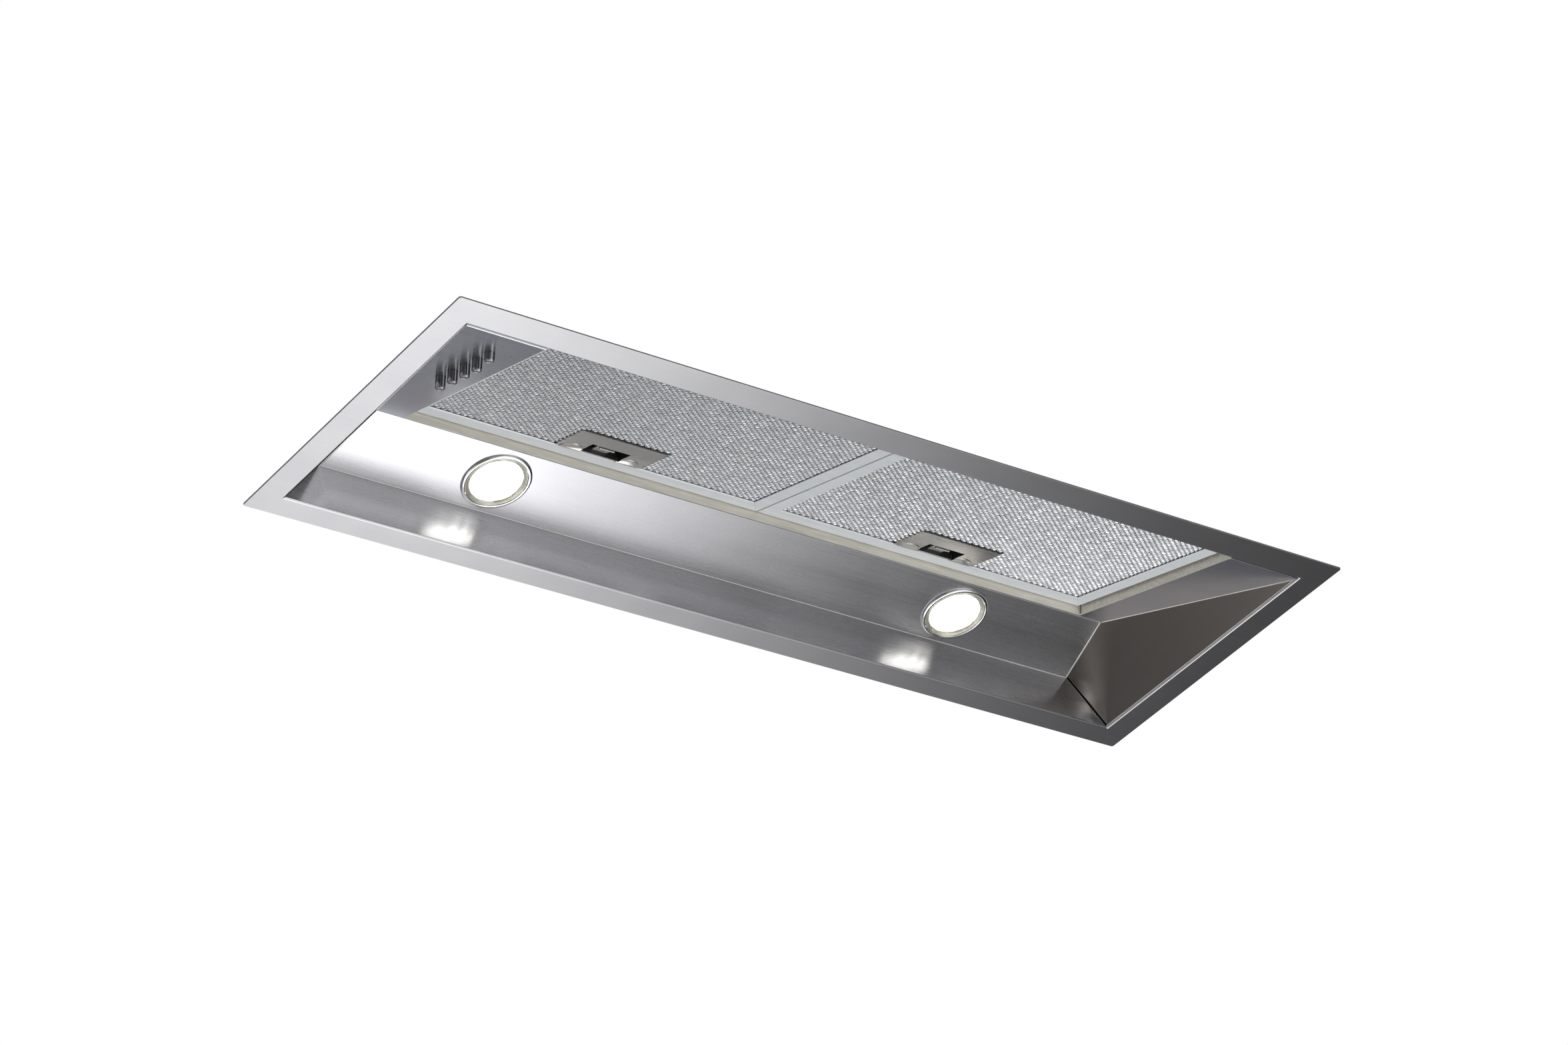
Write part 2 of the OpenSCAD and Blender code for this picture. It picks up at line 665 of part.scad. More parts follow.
// Light source with its ribbed heat sink
module lamp_body(side) {
    base_z = 4.2;
    fin_z = base_z + 4;
    fins = 5;
    fin_step = (lamp_body_h - 6) / fins;
    core_r = lamp_body_r - 5;
    color(aluminium) on_lamp(side) rotate_extrude() polygon(concat(
        [[0, base_z], [lamp_body_r, base_z], [lamp_body_r, fin_z]],
        [for (i = [0:fins - 1]) each [
            [core_r, fin_z + i * fin_step], [core_r, fin_z + (i + 0.5) * fin_step],
            [lamp_body_r, fin_z + (i + 0.5) * fin_step], [lamp_body_r, fin_z + (i + 1) * fin_step]
        ]],
        [[core_r - 3, base_z + lamp_body_h - 2], [0, base_z + lamp_body_h]]));
}

module left_lamp_body() { lamp_body(-1); }
module right_lamp_body() { lamp_body(1); }

// Two leaf springs for each lamp, from its body out onto the panel
module lamp_clips() {
    foot = lamp_body_r + 9;
    rim = lamp_body_r + slide_gap;
    top = 12.5;
    clip_w = 10;
    leaf_t = 0.7;
    color(chrome) for (side = [-1, 1]) on_lamp(side) for (turn = [0, 180]) rotate([0, 0, turn])
        translate([0, clip_w / 2, 0]) rotate([90, 0, 0]) linear_extrude(clip_w) polygon([
            [rim, top], [rim + leaf_t, top], [foot, 2.4], [foot + 3, 3.6], [foot + 3.2, 2.9],
            [foot, sheet_t + seat], [rim, top - 1.2]
        ]);
}

// Power supply of the lamps under the top cover
module lamp_driver() {
    l = 120;
    w = 42;
    h = 23;
    ear = 5;
    color(black) translate([-body_x + driver_x, -body_y + driver_y, scroll_top - h]) difference() {
        cube([l, w, h]);
        for (x = [ear, l - ear]) translate([x, w / 2, -cut]) cylinder(r = 2.2, h = h + 2 * cut);
    }
}

// Round push button with a bevelled end and a retaining collar; pressed moves it in
module push_button(i, pressed) {
    out = button_out - (pressed ? button_travel : 0);
    stem_r = button_r - 1;
    color(chrome) on_deck() translate([button_x, -button_place(i), -out]) rotate_extrude() polygon([
        [0, 0.3], [button_r - 1.4, 0.3], [button_r - 0.8, 0], [button_r - 0.4, 0.1], [button_r, 0.7],
        [button_r, button_out + collar_foot], [button_collar_r, button_out + collar_foot],
        [button_collar_r, button_out + collar_top], [stem_r, button_out + collar_top],
        [stem_r, button_out + button_in], [0, button_out + button_in]
    ]);
}

module light_button() { push_button(0, true); }
module low_button() { push_button(1, false); }
module medium_button() { push_button(2, false); }
module high_button() { push_button(3, false); }
module off_button() { push_button(4, false); }

// Moulded block that guides the buttons and holds their contacts
module switch_block() {
    guide_t = 1.7;
    ear_x = switch_half_w + ear_w;
    color(black) on_deck() difference() {
        union() {
            deck_box(button_x - switch_half_w, button_x + switch_half_w, switch_s0(), switch_s1(),
                switch_base, switch_base + switch_h);
            for (s0 = [switch_s0(), switch_s1() - switch_end])
                deck_box(button_x - ear_x, button_x + ear_x, s0, s0 + switch_end,
                    switch_base, switch_base + ear_t);
        }
        for (i = [0:button_count - 1]) translate([button_x, -button_place(i), switch_base]) {
            translate([0, 0, -cut]) cylinder(r = button_r + run_gap, h = guide_t + 2 * cut);
            translate([0, 0, guide_t])
                cylinder(r = button_collar_r + slide_gap, h = switch_roof - guide_t);
        }
        for (place = switch_screw_places()) translate([place[0], -place[1], switch_base - cut])
            cylinder(r = switch_hole_r - 0.05, h = ear_t + 2 * cut);
    }
}

module switch_screws() {
    color(chrome) on_deck() for (place = switch_screw_places())
        translate([place[0], -place[1], switch_base + ear_t + 0.05]) screw(2.4, 1.6, 1.15, ear_t + 0.9);
}

// Return springs between the button collars and the roof of the block
module button_springs() {
    wire_r = 0.25;
    color(chrome) on_deck() for (i = [0:button_count - 1]) {
        foot = collar_top + 0.1 + (i == 0 ? button_travel : 0);
        translate([button_x, -button_place(i), foot])
            coil_spring(button_r - 0.3, wire_r, switch_base + switch_roof - foot - 0.1, 5);
    }
}

// Spiral wall of the blower in the YZ plane, seen along X
function spiral_r(phi) = impeller_r + tongue_gap + scroll_growth * (phi - scroll_start) / 90;
function spiral(from, extra) = [
    for (phi = [from:7.5:scroll_end])
        [(spiral_r(phi) + extra) * cos(phi), (spiral_r(phi) + extra) * sin(phi)]
];
function air_outline() = concat(spiral(scroll_start, 0), [
    [duct_y + outlet_half - impeller_y, scroll_top - impeller_z + cut],
    [duct_y - outlet_half - impeller_y, scroll_top - impeller_z + cut]
]);
function shell_outline() = concat(spiral(shell_start, scroll_t), [
    [duct_y + outlet_half + scroll_t - impeller_y, scroll_top - impeller_z],
    [duct_y - outlet_half - scroll_t - impeller_y, scroll_top - impeller_z]
]);

// Puts a shape drawn in Y and Z on the blower's axis, with its thickness along X
module on_blower(x) {
    translate([x, impeller_y, impeller_z]) rotate([90, 0, 90]) children();
}

// One moulded half of the blower housing with its belled inlet and its top rim
module scroll_half() {
    rim_x = scroll_half_w + 14;
    rim_y = outlet_half + 12;
    bell_r = inlet_r + 5;
    bell_t = scroll_t + 1.5;
    thread_r = 1.7;
    difference() {
        union() {
            on_blower(0.1) linear_extrude(scroll_half_w + scroll_t - 0.1) polygon(shell_outline());
            on_blower(scroll_half_w) cylinder(r = bell_r, h = bell_t);
            translate([0.1, duct_y - rim_y, scroll_top - rim_t]) cube([rim_x - 0.1, 2 * rim_y, rim_t]);
        }
        on_blower(-cut) linear_extrude(scroll_half_w + cut) polygon(air_outline());
        on_blower(scroll_half_w - cut) cylinder(r = inlet_r, h = bell_t + 2 * cut);
        on_blower(scroll_half_w + scroll_t) rotate_extrude() polygon([
            [inlet_r - cut, 2], [inlet_r + 3, 2], [inlet_r, -scroll_t], [inlet_r - cut, -scroll_t]
        ]);
        for (place = collar_screw_places()) translate([place[0], place[1], scroll_top - rim_t - cut])
            cylinder(r = thread_r, h = rim_t + 2 * cut);
        for (phi = arm_angles) on_blower(scroll_half_w - cut)
            translate([arm_r * cos(phi), arm_r * sin(phi), 0])
                cylinder(r = thread_r - 0.1, h = scroll_t + 2 * cut);
    }
}

module left_scroll() { color(dark_grey) mirror([1, 0, 0]) scroll_half(); }
module right_scroll() { color(dark_grey) scroll_half(); }

// Forward curved blade between the inner and outer radius of the impeller
function blade_line(r_in, r_out, lead) = [
    for (t = [0:0.25:1]) let (r = r_in + (r_out - r_in) * t, a = lead * t * t)
        [r * cos(a), r * sin(a)]
];

// Double inlet impeller: middle disc, hub, two end rings and the blades
module impeller() {
    blade_in = impeller_r - 12;
    blade_t = 1.1;
    blade_l = 2 * impeller_half_w - 1;
    lead = 13;
    disc_t = 3;
    ring_t = 2;
    front = blade_line(blade_in + 0.4, impeller_r - 0.4, lead);
    blade = concat(front, [for (i = [len(front) - 1:-1:0]) front[i] + [0.15, -blade_t]]);
    color(dark_grey) difference() {
        union() {
            on_blower(-disc_t / 2) cylinder(r = impeller_r, h = disc_t);
            on_blower(hub_x) cylinder(r = 14, h = hub_l);
            for (x = [-impeller_half_w, impeller_half_w - ring_t]) on_blower(x) difference() {
                cylinder(r = impeller_r, h = ring_t);
                translate([0, 0, -cut]) cylinder(r = blade_in, h = ring_t + 2 * cut);
            }
            on_blower(-blade_l / 2) linear_extrude(blade_l)
                for (i = [0:impeller_blades - 1]) rotate(360 * i / impeller_blades) polygon(blade);
        }
        on_blower(hub_x - cut) cylinder(r = shaft_r + 0.02, h = hub_l + 2 * cut);
    }
}

module motor_shaft() {
    x0 = motor_x0 + 8;
    x1 = hub_x + hub_l + 4;
    color(chrome) on_blower(x0) cylinder(r = shaft_r, h = x1 - x0);
}

// Motor can with its bearing bosses and the bore for the shaft
module motor_body() {
    length = motor_x1 - motor_x0;
    color(zinc) difference() {
        on_blower(motor_x0) rotate_extrude() polygon([
            [0, 0], [12, 0], [14, 2], [14, 4], [motor_r - 6, 5], [motor_r, 10], [motor_r, length - 14],
            [motor_r - 4, length - 9], [12, length - 6], [10, length], [0, length]
        ]);
        on_blower(motor_x0 + 6) cylinder(r = shaft_r + run_gap, h = length);
    }
}

// Three armed bracket that holds the motor in the left inlet
module motor_bracket() {
    ring_r = motor_r + 4;
    ring_w = 14;
    arm_w = 14;
    color(zinc) difference() {
        union() {
            on_blower(bracket_x) cylinder(r = ring_r, h = ring_w);
            for (phi = arm_angles) on_blower(bracket_x) rotate(phi) {
                translate([motor_r, -arm_w / 2, 0]) cube([arm_r - motor_r, arm_w, arm_t]);
                translate([arm_r, 0, 0]) cylinder(r = arm_w / 2, h = arm_t);
            }
        }
        on_blower(bracket_x - cut) cylinder(r = motor_r + 0.05, h = ring_w + 2 * cut);
        for (phi = arm_angles) on_blower(bracket_x - cut)
            translate([arm_r * cos(phi), arm_r * sin(phi), 0]) cylinder(r = 1.7, h = arm_t + 2 * cut);
    }
}

module bracket_grommets() {
    length = -scroll_half_w - scroll_t - bracket_x - arm_t - 0.2;
    color(black) for (phi = arm_angles) on_blower(bracket_x + arm_t + 0.1)
        translate([arm_r * cos(phi), arm_r * sin(phi), 0]) difference() {
            cylinder(r = 5.5, h = length);
            translate([0, 0, -cut]) cylinder(r = 1.8, h = length + 2 * cut);
        }
}

module bracket_screws() {
    color(chrome) for (phi = arm_angles) on_blower(bracket_x - 0.05)
        translate([arm_r * cos(phi), arm_r * sin(phi), 0]) mirror([0, 0, 1])
            screw(3.2, 2, 1.5, -bracket_x - scroll_half_w + 0.5);
}

module motor_capacitor() {
    length = 48;
    can_r = 11;
    place_r = inlet_r + 20;
    color(black) on_blower(scroll_half_w + scroll_t + 0.1) translate([0, -place_r, 0]) union() {
        cylinder(r = can_r, h = length);
        translate([0, 0, length - 0.5]) cylinder(r = 4, h = 5);
    }
}

function collar_screw_places() = [
    for (x = [-1, 1], y = [-1, 1]) [x * (scroll_half_w + 7), duct_y + y * (outlet_half + 6)]
];

// Round collar with its base plate, flap seat and the bores for the flap pin
module duct_collar() {
    base_r = duct_r + 15.5;
    inner_r = duct_r - duct_wall;
    seat_w = 3.5;
    color(dark_grey) difference() {
        union() {
            translate([0, duct_y, body_top]) cylinder(r = base_r, h = collar_base_t);
            translate([0, duct_y, body_top]) cylinder(r = duct_r, h = duct_h);
        }
        translate([0, duct_y, body_top - cut]) cylinder(r = inner_r - seat_w, h = duct_h + 2 * cut);
        translate([0, duct_y, flap_z - 1.1]) cylinder(r = inner_r, h = duct_h);
        translate([-duct_r - cut, duct_y, flap_z]) rotate([0, 90, 0])
            cylinder(r = flap_pin_r, h = 2 * duct_r + 2 * cut);
        for (side = [-1, 1]) translate([side * (inner_r - 4), duct_y, flap_z - 1])
            cube([10, 12, 9], center = true);
        for (place = collar_screw_places()) translate([place[0], place[1], body_top - cut])
            cylinder(r = collar_hole_r, h = collar_base_t + 2 * cut);
    }
}

module collar_screws() {
    color(chrome) for (place = collar_screw_places())
        translate([place[0], place[1], body_top + collar_base_t + 0.05])
            screw(3.4, 2.2, 1.6, collar_base_t + wall_t + rim_t + 1.7);
}

// Half round flap with two knuckles on the pin; side is -1 at the front and 1 at the rear
module flap(side) {
    flap_r = duct_r - duct_wall - 1;
    flap_t = 1.6;
    knuckle_r = flap_pin_r + 2;
    knuckle_l = 12;
    split = knuckle_r + 0.4;
    places = side > 0 ? [-40, 26] : [-24, 42];    // knuckles of both flaps take turns
    color(dark_grey) translate([0, duct_y, flap_z]) difference() {
        union() {
            intersection() {
                translate([0, 0, -flap_t / 2]) cylinder(r = flap_r, h = flap_t);
                translate([-flap_r, side > 0 ? split : -flap_r - cut, -flap_t])
                    cube([2 * flap_r, flap_r + cut - split, 2 * flap_t]);
            }
            for (x = places) {
                translate([x, 0, 0]) rotate([0, 90, 0]) cylinder(r = knuckle_r, h = knuckle_l);
                translate([x, side > 0 ? 0 : -split - 1, -flap_t / 2])
                    cube([knuckle_l, split + 1, flap_t]);
            }
        }
        translate([-flap_r, 0, 0]) rotate([0, 90, 0]) cylinder(r = flap_pin_r + run_gap, h = 2 * flap_r);
    }
}

module front_flap() { flap(-1); }
module rear_flap() { flap(1); }

module flap_pin() {
    color(chrome) translate([-flap_pin_l / 2, duct_y, flap_z]) rotate([0, 90, 0])
        cylinder(r = flap_pin_r, h = flap_pin_l);
}

// Junction box under the top cover, open below
module terminal_box() {
    h = 32;
    wall = 2;
    color(black) translate([terminal_x, gland_y - terminal_w / 2, scroll_top - h]) difference() {
        cube([terminal_l, terminal_w, h]);
        translate([wall, wall, -wall]) cube([terminal_l - 2 * wall, terminal_w - 2 * wall, h]);
        translate([-cut, terminal_w / 2, h - 14]) rotate([0, 90, 0])
            cylinder(r = 5, h = wall + 2 * cut);
    }
}

// Lid of the junction box with the plug that fills its mouth
module terminal_cover() {
    plug = 2.2;
    lid_t = 2;
    color(dark_grey) translate([terminal_x, gland_y - terminal_w / 2, scroll_top - 34.1]) union() {
        cube([terminal_l, terminal_w, lid_t]);
        translate([plug, plug, lid_t - 0.1])
            cube([terminal_l - 2 * plug, terminal_w - 2 * plug, 3]);
    }
}

// Cable gland through the top cover
module cable_gland() {
    hex_h = 7;
    cap_h = 9;
    foot = cover_z - gland_below;
    color(black) translate([gland_x, gland_y, 0]) difference() {
        union() {
            translate([0, 0, foot]) cylinder(r = gland_r, h = gland_below + wall_t + 0.2);
            translate([0, 0, body_top + 0.05]) cylinder(r = gland_flange_r, h = hex_h, $fn = 6);
            translate([0, 0, body_top + hex_h]) cylinder(r1 = 10, r2 = 8, h = cap_h);
        }
        translate([0, 0, foot - cut])
            cylinder(r = cable_r, h = body_top + hex_h + cap_h - foot + 2 * cut);
    }
}

module gland_nut() {
    nut_h = 6;
    color(black) translate([gland_x, gland_y, cover_z - nut_h - 0.1]) difference() {
        cylinder(r = gland_flange_r + 0.5, h = nut_h, $fn = 6);
        translate([0, 0, -cut]) cylinder(r = gland_r + 0.05, h = nut_h + 2 * cut);
    }
}

// Sprung clip on an end wall that snaps behind the edge of the cupboard's cut out
module side_clip(side) {
    clip_w = 60;
    reach = 12;
    leaf_t = 1;
    foot = 24;
    bend = 34;
    top = 90;
    color(chrome) mirror([side > 0 ? 0 : 1, 0, 0]) translate([body_x + 0.05, clip_w / 2, 0])
        rotate([90, 0, 0]) difference() {
            linear_extrude(clip_w) polygon([
                [0, foot], [0, top], [leaf_t, top], [reach, bend], [reach - 3, foot - 2],
                [reach - 4, foot - 1.6], [reach - 1.2, bend], [leaf_t, top - 8], [leaf_t, foot]
            ]);
            for (y = [-clip_hole_y, clip_hole_y]) translate([-cut, clip_hole_z, clip_w / 2 + y])
                rotate([0, 90, 0]) cylinder(r = clip_hole_r, h = leaf_t + 2 * cut);
        }
}

module left_side_clip() { side_clip(-1); }
module right_side_clip() { side_clip(1); }

module clip_screws() {
    color(chrome) for (side = [-1, 1], y = [-clip_hole_y, clip_hole_y])
        translate([side * (body_x - wall_t - 0.05), y, clip_hole_z]) rotate([0, -side * 90, 0])
            screw(3.8, 2.2, clip_hole_r - seat, wall_t + 2.7);
}

flange_frame();
filter_deck();
lamp_panel();
left_end_panel();
right_end_panel();
filter_rail();
housing_shell();
top_cover();
cover_screws();
left_filter_frame();
right_filter_frame();
left_filter_mesh();
right_filter_mesh();
left_filter_handle();
right_filter_handle();
left_filter_latch();
right_filter_latch();
left_latch_spring();
right_latch_spring();
left_lamp_ring();
right_lamp_ring();
left_lamp_lens();
right_lamp_lens();
left_lamp_body();
right_lamp_body();
lamp_clips();
lamp_driver();
light_button();
low_button();
medium_button();
high_button();
off_button();
button_springs();
switch_block();
switch_screws();
left_scroll();
right_scroll();
impeller();
motor_shaft();
motor_body();
motor_bracket();
bracket_grommets();
bracket_screws();
motor_capacitor();
duct_collar();
collar_screws();
front_flap();
rear_flap();
flap_pin();
terminal_box();
terminal_cover();
cable_gland();
gland_nut();
left_side_clip();
right_side_clip();
clip_screws();
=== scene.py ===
"""Undermount range hood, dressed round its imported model.

The canopy, filters, lamps and buttons are what the cook sees from below. The housing with its
blower and duct collar stands above the flange. The scene is in metres, in the model's frame, and
the sizes in the classes are in millimetres.
"""

import json
import logging
import math
from dataclasses import dataclass, field
from enum import Enum
from functools import cache, partial
from typing import Callable, Sequence

import bmesh
import bpy
from mathutils import Euler, Matrix, Vector

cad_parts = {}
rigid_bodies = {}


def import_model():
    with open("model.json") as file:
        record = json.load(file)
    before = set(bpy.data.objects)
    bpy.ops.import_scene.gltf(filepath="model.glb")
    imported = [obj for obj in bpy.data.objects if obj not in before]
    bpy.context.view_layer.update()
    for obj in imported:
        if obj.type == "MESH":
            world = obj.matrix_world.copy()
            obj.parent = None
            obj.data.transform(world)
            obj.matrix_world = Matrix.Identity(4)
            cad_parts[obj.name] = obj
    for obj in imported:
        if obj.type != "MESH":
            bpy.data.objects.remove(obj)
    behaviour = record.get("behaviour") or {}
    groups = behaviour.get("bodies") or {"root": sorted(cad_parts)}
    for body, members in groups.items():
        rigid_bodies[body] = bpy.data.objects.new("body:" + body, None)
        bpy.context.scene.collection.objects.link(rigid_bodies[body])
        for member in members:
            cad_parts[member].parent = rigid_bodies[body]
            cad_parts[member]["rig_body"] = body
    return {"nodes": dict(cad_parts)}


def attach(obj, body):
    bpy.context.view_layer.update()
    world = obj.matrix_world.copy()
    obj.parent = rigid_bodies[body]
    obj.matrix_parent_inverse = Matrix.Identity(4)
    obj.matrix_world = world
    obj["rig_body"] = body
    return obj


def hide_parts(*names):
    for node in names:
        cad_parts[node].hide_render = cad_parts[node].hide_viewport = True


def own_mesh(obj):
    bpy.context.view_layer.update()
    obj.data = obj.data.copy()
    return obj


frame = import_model()

LOG = logging.getLogger("range_hood")
MM = 0.001
# How far apart points become one, in metres.
MERGE = 1e-6
WELD = 1e-5
# How far faces may turn and still be one, and how far edges turn that stay sharp, in degrees.
FLAT_TURN = 0.5
PLAIN_CREASE = 32.0
ROUNDED_CREASE = 50.0
# Where most of one uneven grain lies, and most of the sum of two.
GRAIN_SPREAD = (0.3, 0.7)
SUM_SPREAD = (0.7, 1.3)
# Least sine of the angle between a face and the strokes that can still be laid on it, and the
# cosine from which a face counts as level.
LEAST_ACROSS = 0.2
LEVEL = 0.9
WHITE = "ffffff"
UP = Vector((0.0, 0.0, 1.0))

Shape = bmesh.types.BMesh
Tree = bpy.types.NodeTree
Node = bpy.types.Node
Sockets = bpy.types.bpy_prop_collection
Inputs = dict[str | int, object]
Pair = tuple[float, float]
Point = tuple[float, float, float]
Pattern = tuple[object, float, float]
Section = tuple[Pair, ...]
Chooser = Callable[[Vector, Vector, float], bool]


class Grain(Enum):
    """Direction in which a sheet was brushed."""

    ALONG_HOOD = Vector((1.0, 0.0, 0.0))
    ACROSS_HOOD = Vector((0.0, 1.0, 0.0))


class Axis(Enum):
    """Axis along which a staging card fades."""

    X = 0
    Y = 1
    Z = 2


class Side(Enum):
    """End of the hood, as the cook sees it."""

    LEFT = -1
    RIGHT = 1

    @property
    def word(self) -> str:
        """Name of the side as the nodes use it."""
        return self.name.lower()


class Slot(Enum):
    """Material slot of the record."""

    BRUSHED_STAINLESS = "brushed_stainless"
    GALVANISED_SHEET = "galvanised_sheet"
    MILL_ALUMINIUM = "mill_aluminium"
    BRIGHT_CHROME = "bright_chrome"
    LAMP_LENS = "lamp_lens"
    MOULDED_BLACK = "moulded_black"
    MOULDED_GREY = "moulded_grey"


def linear(code: str) -> tuple[float, float, float, float]:
    """Turns an sRGB hex colour into the linear values that a socket takes.

    Args:
        code: six hex digits.

    Returns:
        Red, green, blue and an alpha of one.
    """
    parts = [int(code[i : i + 2], 16) / 255 for i in (0, 2, 4)]
    red, green, blue = (p / 12.92 if p <= 0.04045 else ((p + 0.055) / 1.055) ** 2.4 for p in parts)
    return red, green, blue, 1.0


def add_node(tree: Tree, kind: str, inputs: Inputs | None = None, **settings: object) -> Node:
    """Adds a node, sets it up and links it.

    Args:
        tree: the tree that gets the node.
        kind: Blender's name for the kind of node.
        inputs: what each input takes, by its name or place: a value, a socket, a node whose first
            output is meant, or a list of nodes.
        settings: the node's own settings.

    Returns:
        The new node.
    """
    node = tree.nodes.new(kind)
    for name, value in settings.items():
        setattr(node, name, value)
    for key, given in (inputs or {}).items():
        for value in given if isinstance(given, list) else [given]:
            source = value.outputs[0] if isinstance(value, Node) else value
            if isinstance(source, bpy.types.NodeSocket):
                tree.links.new(source, node.inputs[key])
            else:
                node.inputs[key].default_value = source
    return node


def hood_point(tree: Tree, scale: Point) -> Node:
    """Adds the surface point in the hood's frame, stretched along each axis.

    Args:
        tree: the material's tree.
        scale: the stretch along each axis.

    Returns:
        The node that gives the point.
    """
    place = add_node(tree, "ShaderNodeTexCoord").outputs["Object"]
    return add_node(tree, "ShaderNodeMapping", {"Vector": place, "Scale": scale})


def uneven_grain(tree: Tree, scale: Point, detail: float, rough: float = 0.5) -> Node:
    """Adds an uneven grain that lies still in the hood's frame.

    Args:
        tree: the material's tree.
        scale: grains for each metre along each axis.
        detail: how many finer grains lie on the first.
        rough: how much each finer grain counts.

    Returns:
        The node whose first output is the grain, around one half.
    """
    inputs = {"Vector": hood_point(tree, scale), "Scale": 1.0, "Detail": detail, "Roughness": rough}
    return add_node(tree, "ShaderNodeTexNoise", inputs)


@dataclass(frozen=True)
class Finish:
    """What every finish has: a name, and the record's slot of the pieces that wear it."""

    name: str
    slot: Slot | None = field(default=None, kw_only=True)

    def surface(self, tree: Tree) -> Node:
        """Adds the finish's shader to its tree."""
        raise NotImplementedError

    def material(self) -> bpy.types.Material:
        """Builds the finish when it is first asked for.

        Returns:
            The finish's one material.
        """
        material = bpy.data.materials.get(self.name)
        if material is None:
            material = bpy.data.materials.new(self.name)
            material.use_nodes = True
            tree = material.node_tree
            tree.nodes.clear()
            add_node(tree, "ShaderNodeOutputMaterial", {"Surface": self.surface(tree)})
        return material


@dataclass(frozen=True)
class TwoTone(Finish):
    """Finish whose colour and gloss each run between two values with a pattern."""

    light: str
    dark: str
    roughness: Pair
    metallic: float = 1.0

    def shader(self, tree: Tree, tone: Pattern, gloss: Pattern, more: Inputs) -> Node:
        """Adds a shader that follows patterns.

        Args:
            tree: the material's tree.
            tone: value that the colour follows, and where it is darkest and lightest.
            gloss: value that the roughness follows, and where that starts and ends.
            more: what the shader's other inputs take.

        Returns:
            The shader.
        """
        shares = [
            add_node(tree, "ShaderNodeMapRange", {0: value, 1: start, 2: end, 3: first, 4: last})
            for (value, start, end), (first, last) in ((tone, (0.0, 1.0)), (gloss, self.roughness))
        ]
        colours = {6: linear(self.dark), 7: linear(self.light)}
        colour = add_node(tree, "ShaderNodeMix", {0: shares[0], **colours}, data_type="RGBA").outputs[2]
        look = {"Base Color": colour, "Metallic": self.metallic, "Roughness": shares[1], **more}
        return add_node(tree, "ShaderNodeBsdfPrincipled", look)


@dataclass(frozen=True)
class BrushedSteel(TwoTone):
    """Stainless sheet brushed with a belt of about 240 grit.

    Real strokes are 0.1 mm wide. They are drawn 0.5 mm wide here, so that they show in a render.
    """

    grain: Grain = Grain.ALONG_HOOD
    anisotropy: float = 0.75
    relief: float = 0.05
    relief_mm: float = 0.02
    stroke_mm: float = 0.5
    stroke_length_mm: float = 90.0
    cloud_mm: float = 70.0
    slot: Slot = field(default=Slot.BRUSHED_STAINLESS, kw_only=True)

    def surface(self, tree: Tree) -> Node:
        """Adds a shader whose highlights are drawn out across the strokes.

        Args:
            tree: the material's tree.

        Returns:
            The shader.
        """
        across = 1 / (self.stroke_mm * MM)
        along = 1 / (self.stroke_length_mm * MM)
        strokes = uneven_grain(tree, tuple(along if c else across for c in self.grain.value), 3.0, 0.6)
        clouds = uneven_grain(tree, (1 / (self.cloud_mm * MM),) * 3, 2.0)
        mixed = add_node(tree, "ShaderNodeMath", {0: strokes, 1: clouds}, operation="ADD")
        relief = {"Strength": self.relief, "Distance": self.relief_mm * MM, "Height": strokes}
        more = {
            "Anisotropic": self.anisotropy,
            "Tangent": add_node(tree, "ShaderNodeTangent", direction_type="UV_MAP", uv_map="across_grain"),
            "Normal": add_node(tree, "ShaderNodeBump", relief),
        }
        return self.shader(tree, (mixed, *SUM_SPREAD), (strokes, *GRAIN_SPREAD), more)


@dataclass(frozen=True)
class GrainedMetal(TwoTone):
    """Rolled, drawn, cast or plated metal with a faint uneven grain in its tone and gloss."""

    grain_mm: float = 3.0
    relief: float = 0.05
    stretch: Point = (1.0, 1.0, 1.0)
    relief_mm: float = 0.1
    detail: float = 3.0
    slot: Slot = field(default=Slot.BRIGHT_CHROME, kw_only=True)

    def surface(self, tree: Tree) -> Node:
        """Adds a shader whose tone, gloss and relief follow one grain.

        Args:
            tree: the material's tree.

        Returns:
            The shader.
        """
        grain = uneven_grain(tree, tuple(s / (self.grain_mm * MM) for s in self.stretch), self.detail)
        relief = {"Strength": self.relief, "Distance": self.relief_mm * MM, "Height": grain}
        follows = (grain, *GRAIN_SPREAD)
        return self.shader(tree, follows, follows, {"Normal": add_node(tree, "ShaderNodeBump", relief)})


@dataclass(frozen=True)
class Moulding(GrainedMetal):
    """Moulded plastic or rubber with the fine eroded texture of its mould."""

    metallic: float = 0.0
    grain_mm: float = 0.6
    relief: float = 0.25
    relief_mm: float = 0.05
    detail: float = 2.0
    slot: Slot = field(default=Slot.MOULDED_BLACK, kw_only=True)


@dataclass(frozen=True)
class GalvanisedSheet(TwoTone):
    """Hot dipped zinc on steel sheet, whose spangle turns each crystal to another tone."""

    spangle_mm: float = 9.0
    slot: Slot = field(default=Slot.GALVANISED_SHEET, kw_only=True)

    def surface(self, tree: Tree) -> Node:
        """Adds a shader with one tone and gloss for each crystal.

        Args:
            tree: the material's tree.

        Returns:
            The shader.
        """
        place = hood_point(tree, (1 / (self.spangle_mm * MM),) * 3)
        crystals = add_node(tree, "ShaderNodeTexVoronoi", {"Vector": place, "Scale": 1.0})
        tone = add_node(tree, "ShaderNodeSeparateColor", {0: crystals.outputs["Color"]})
        return self.shader(tree, (tone, 0.0, 1.0), (tone, 0.0, 1.0), {})


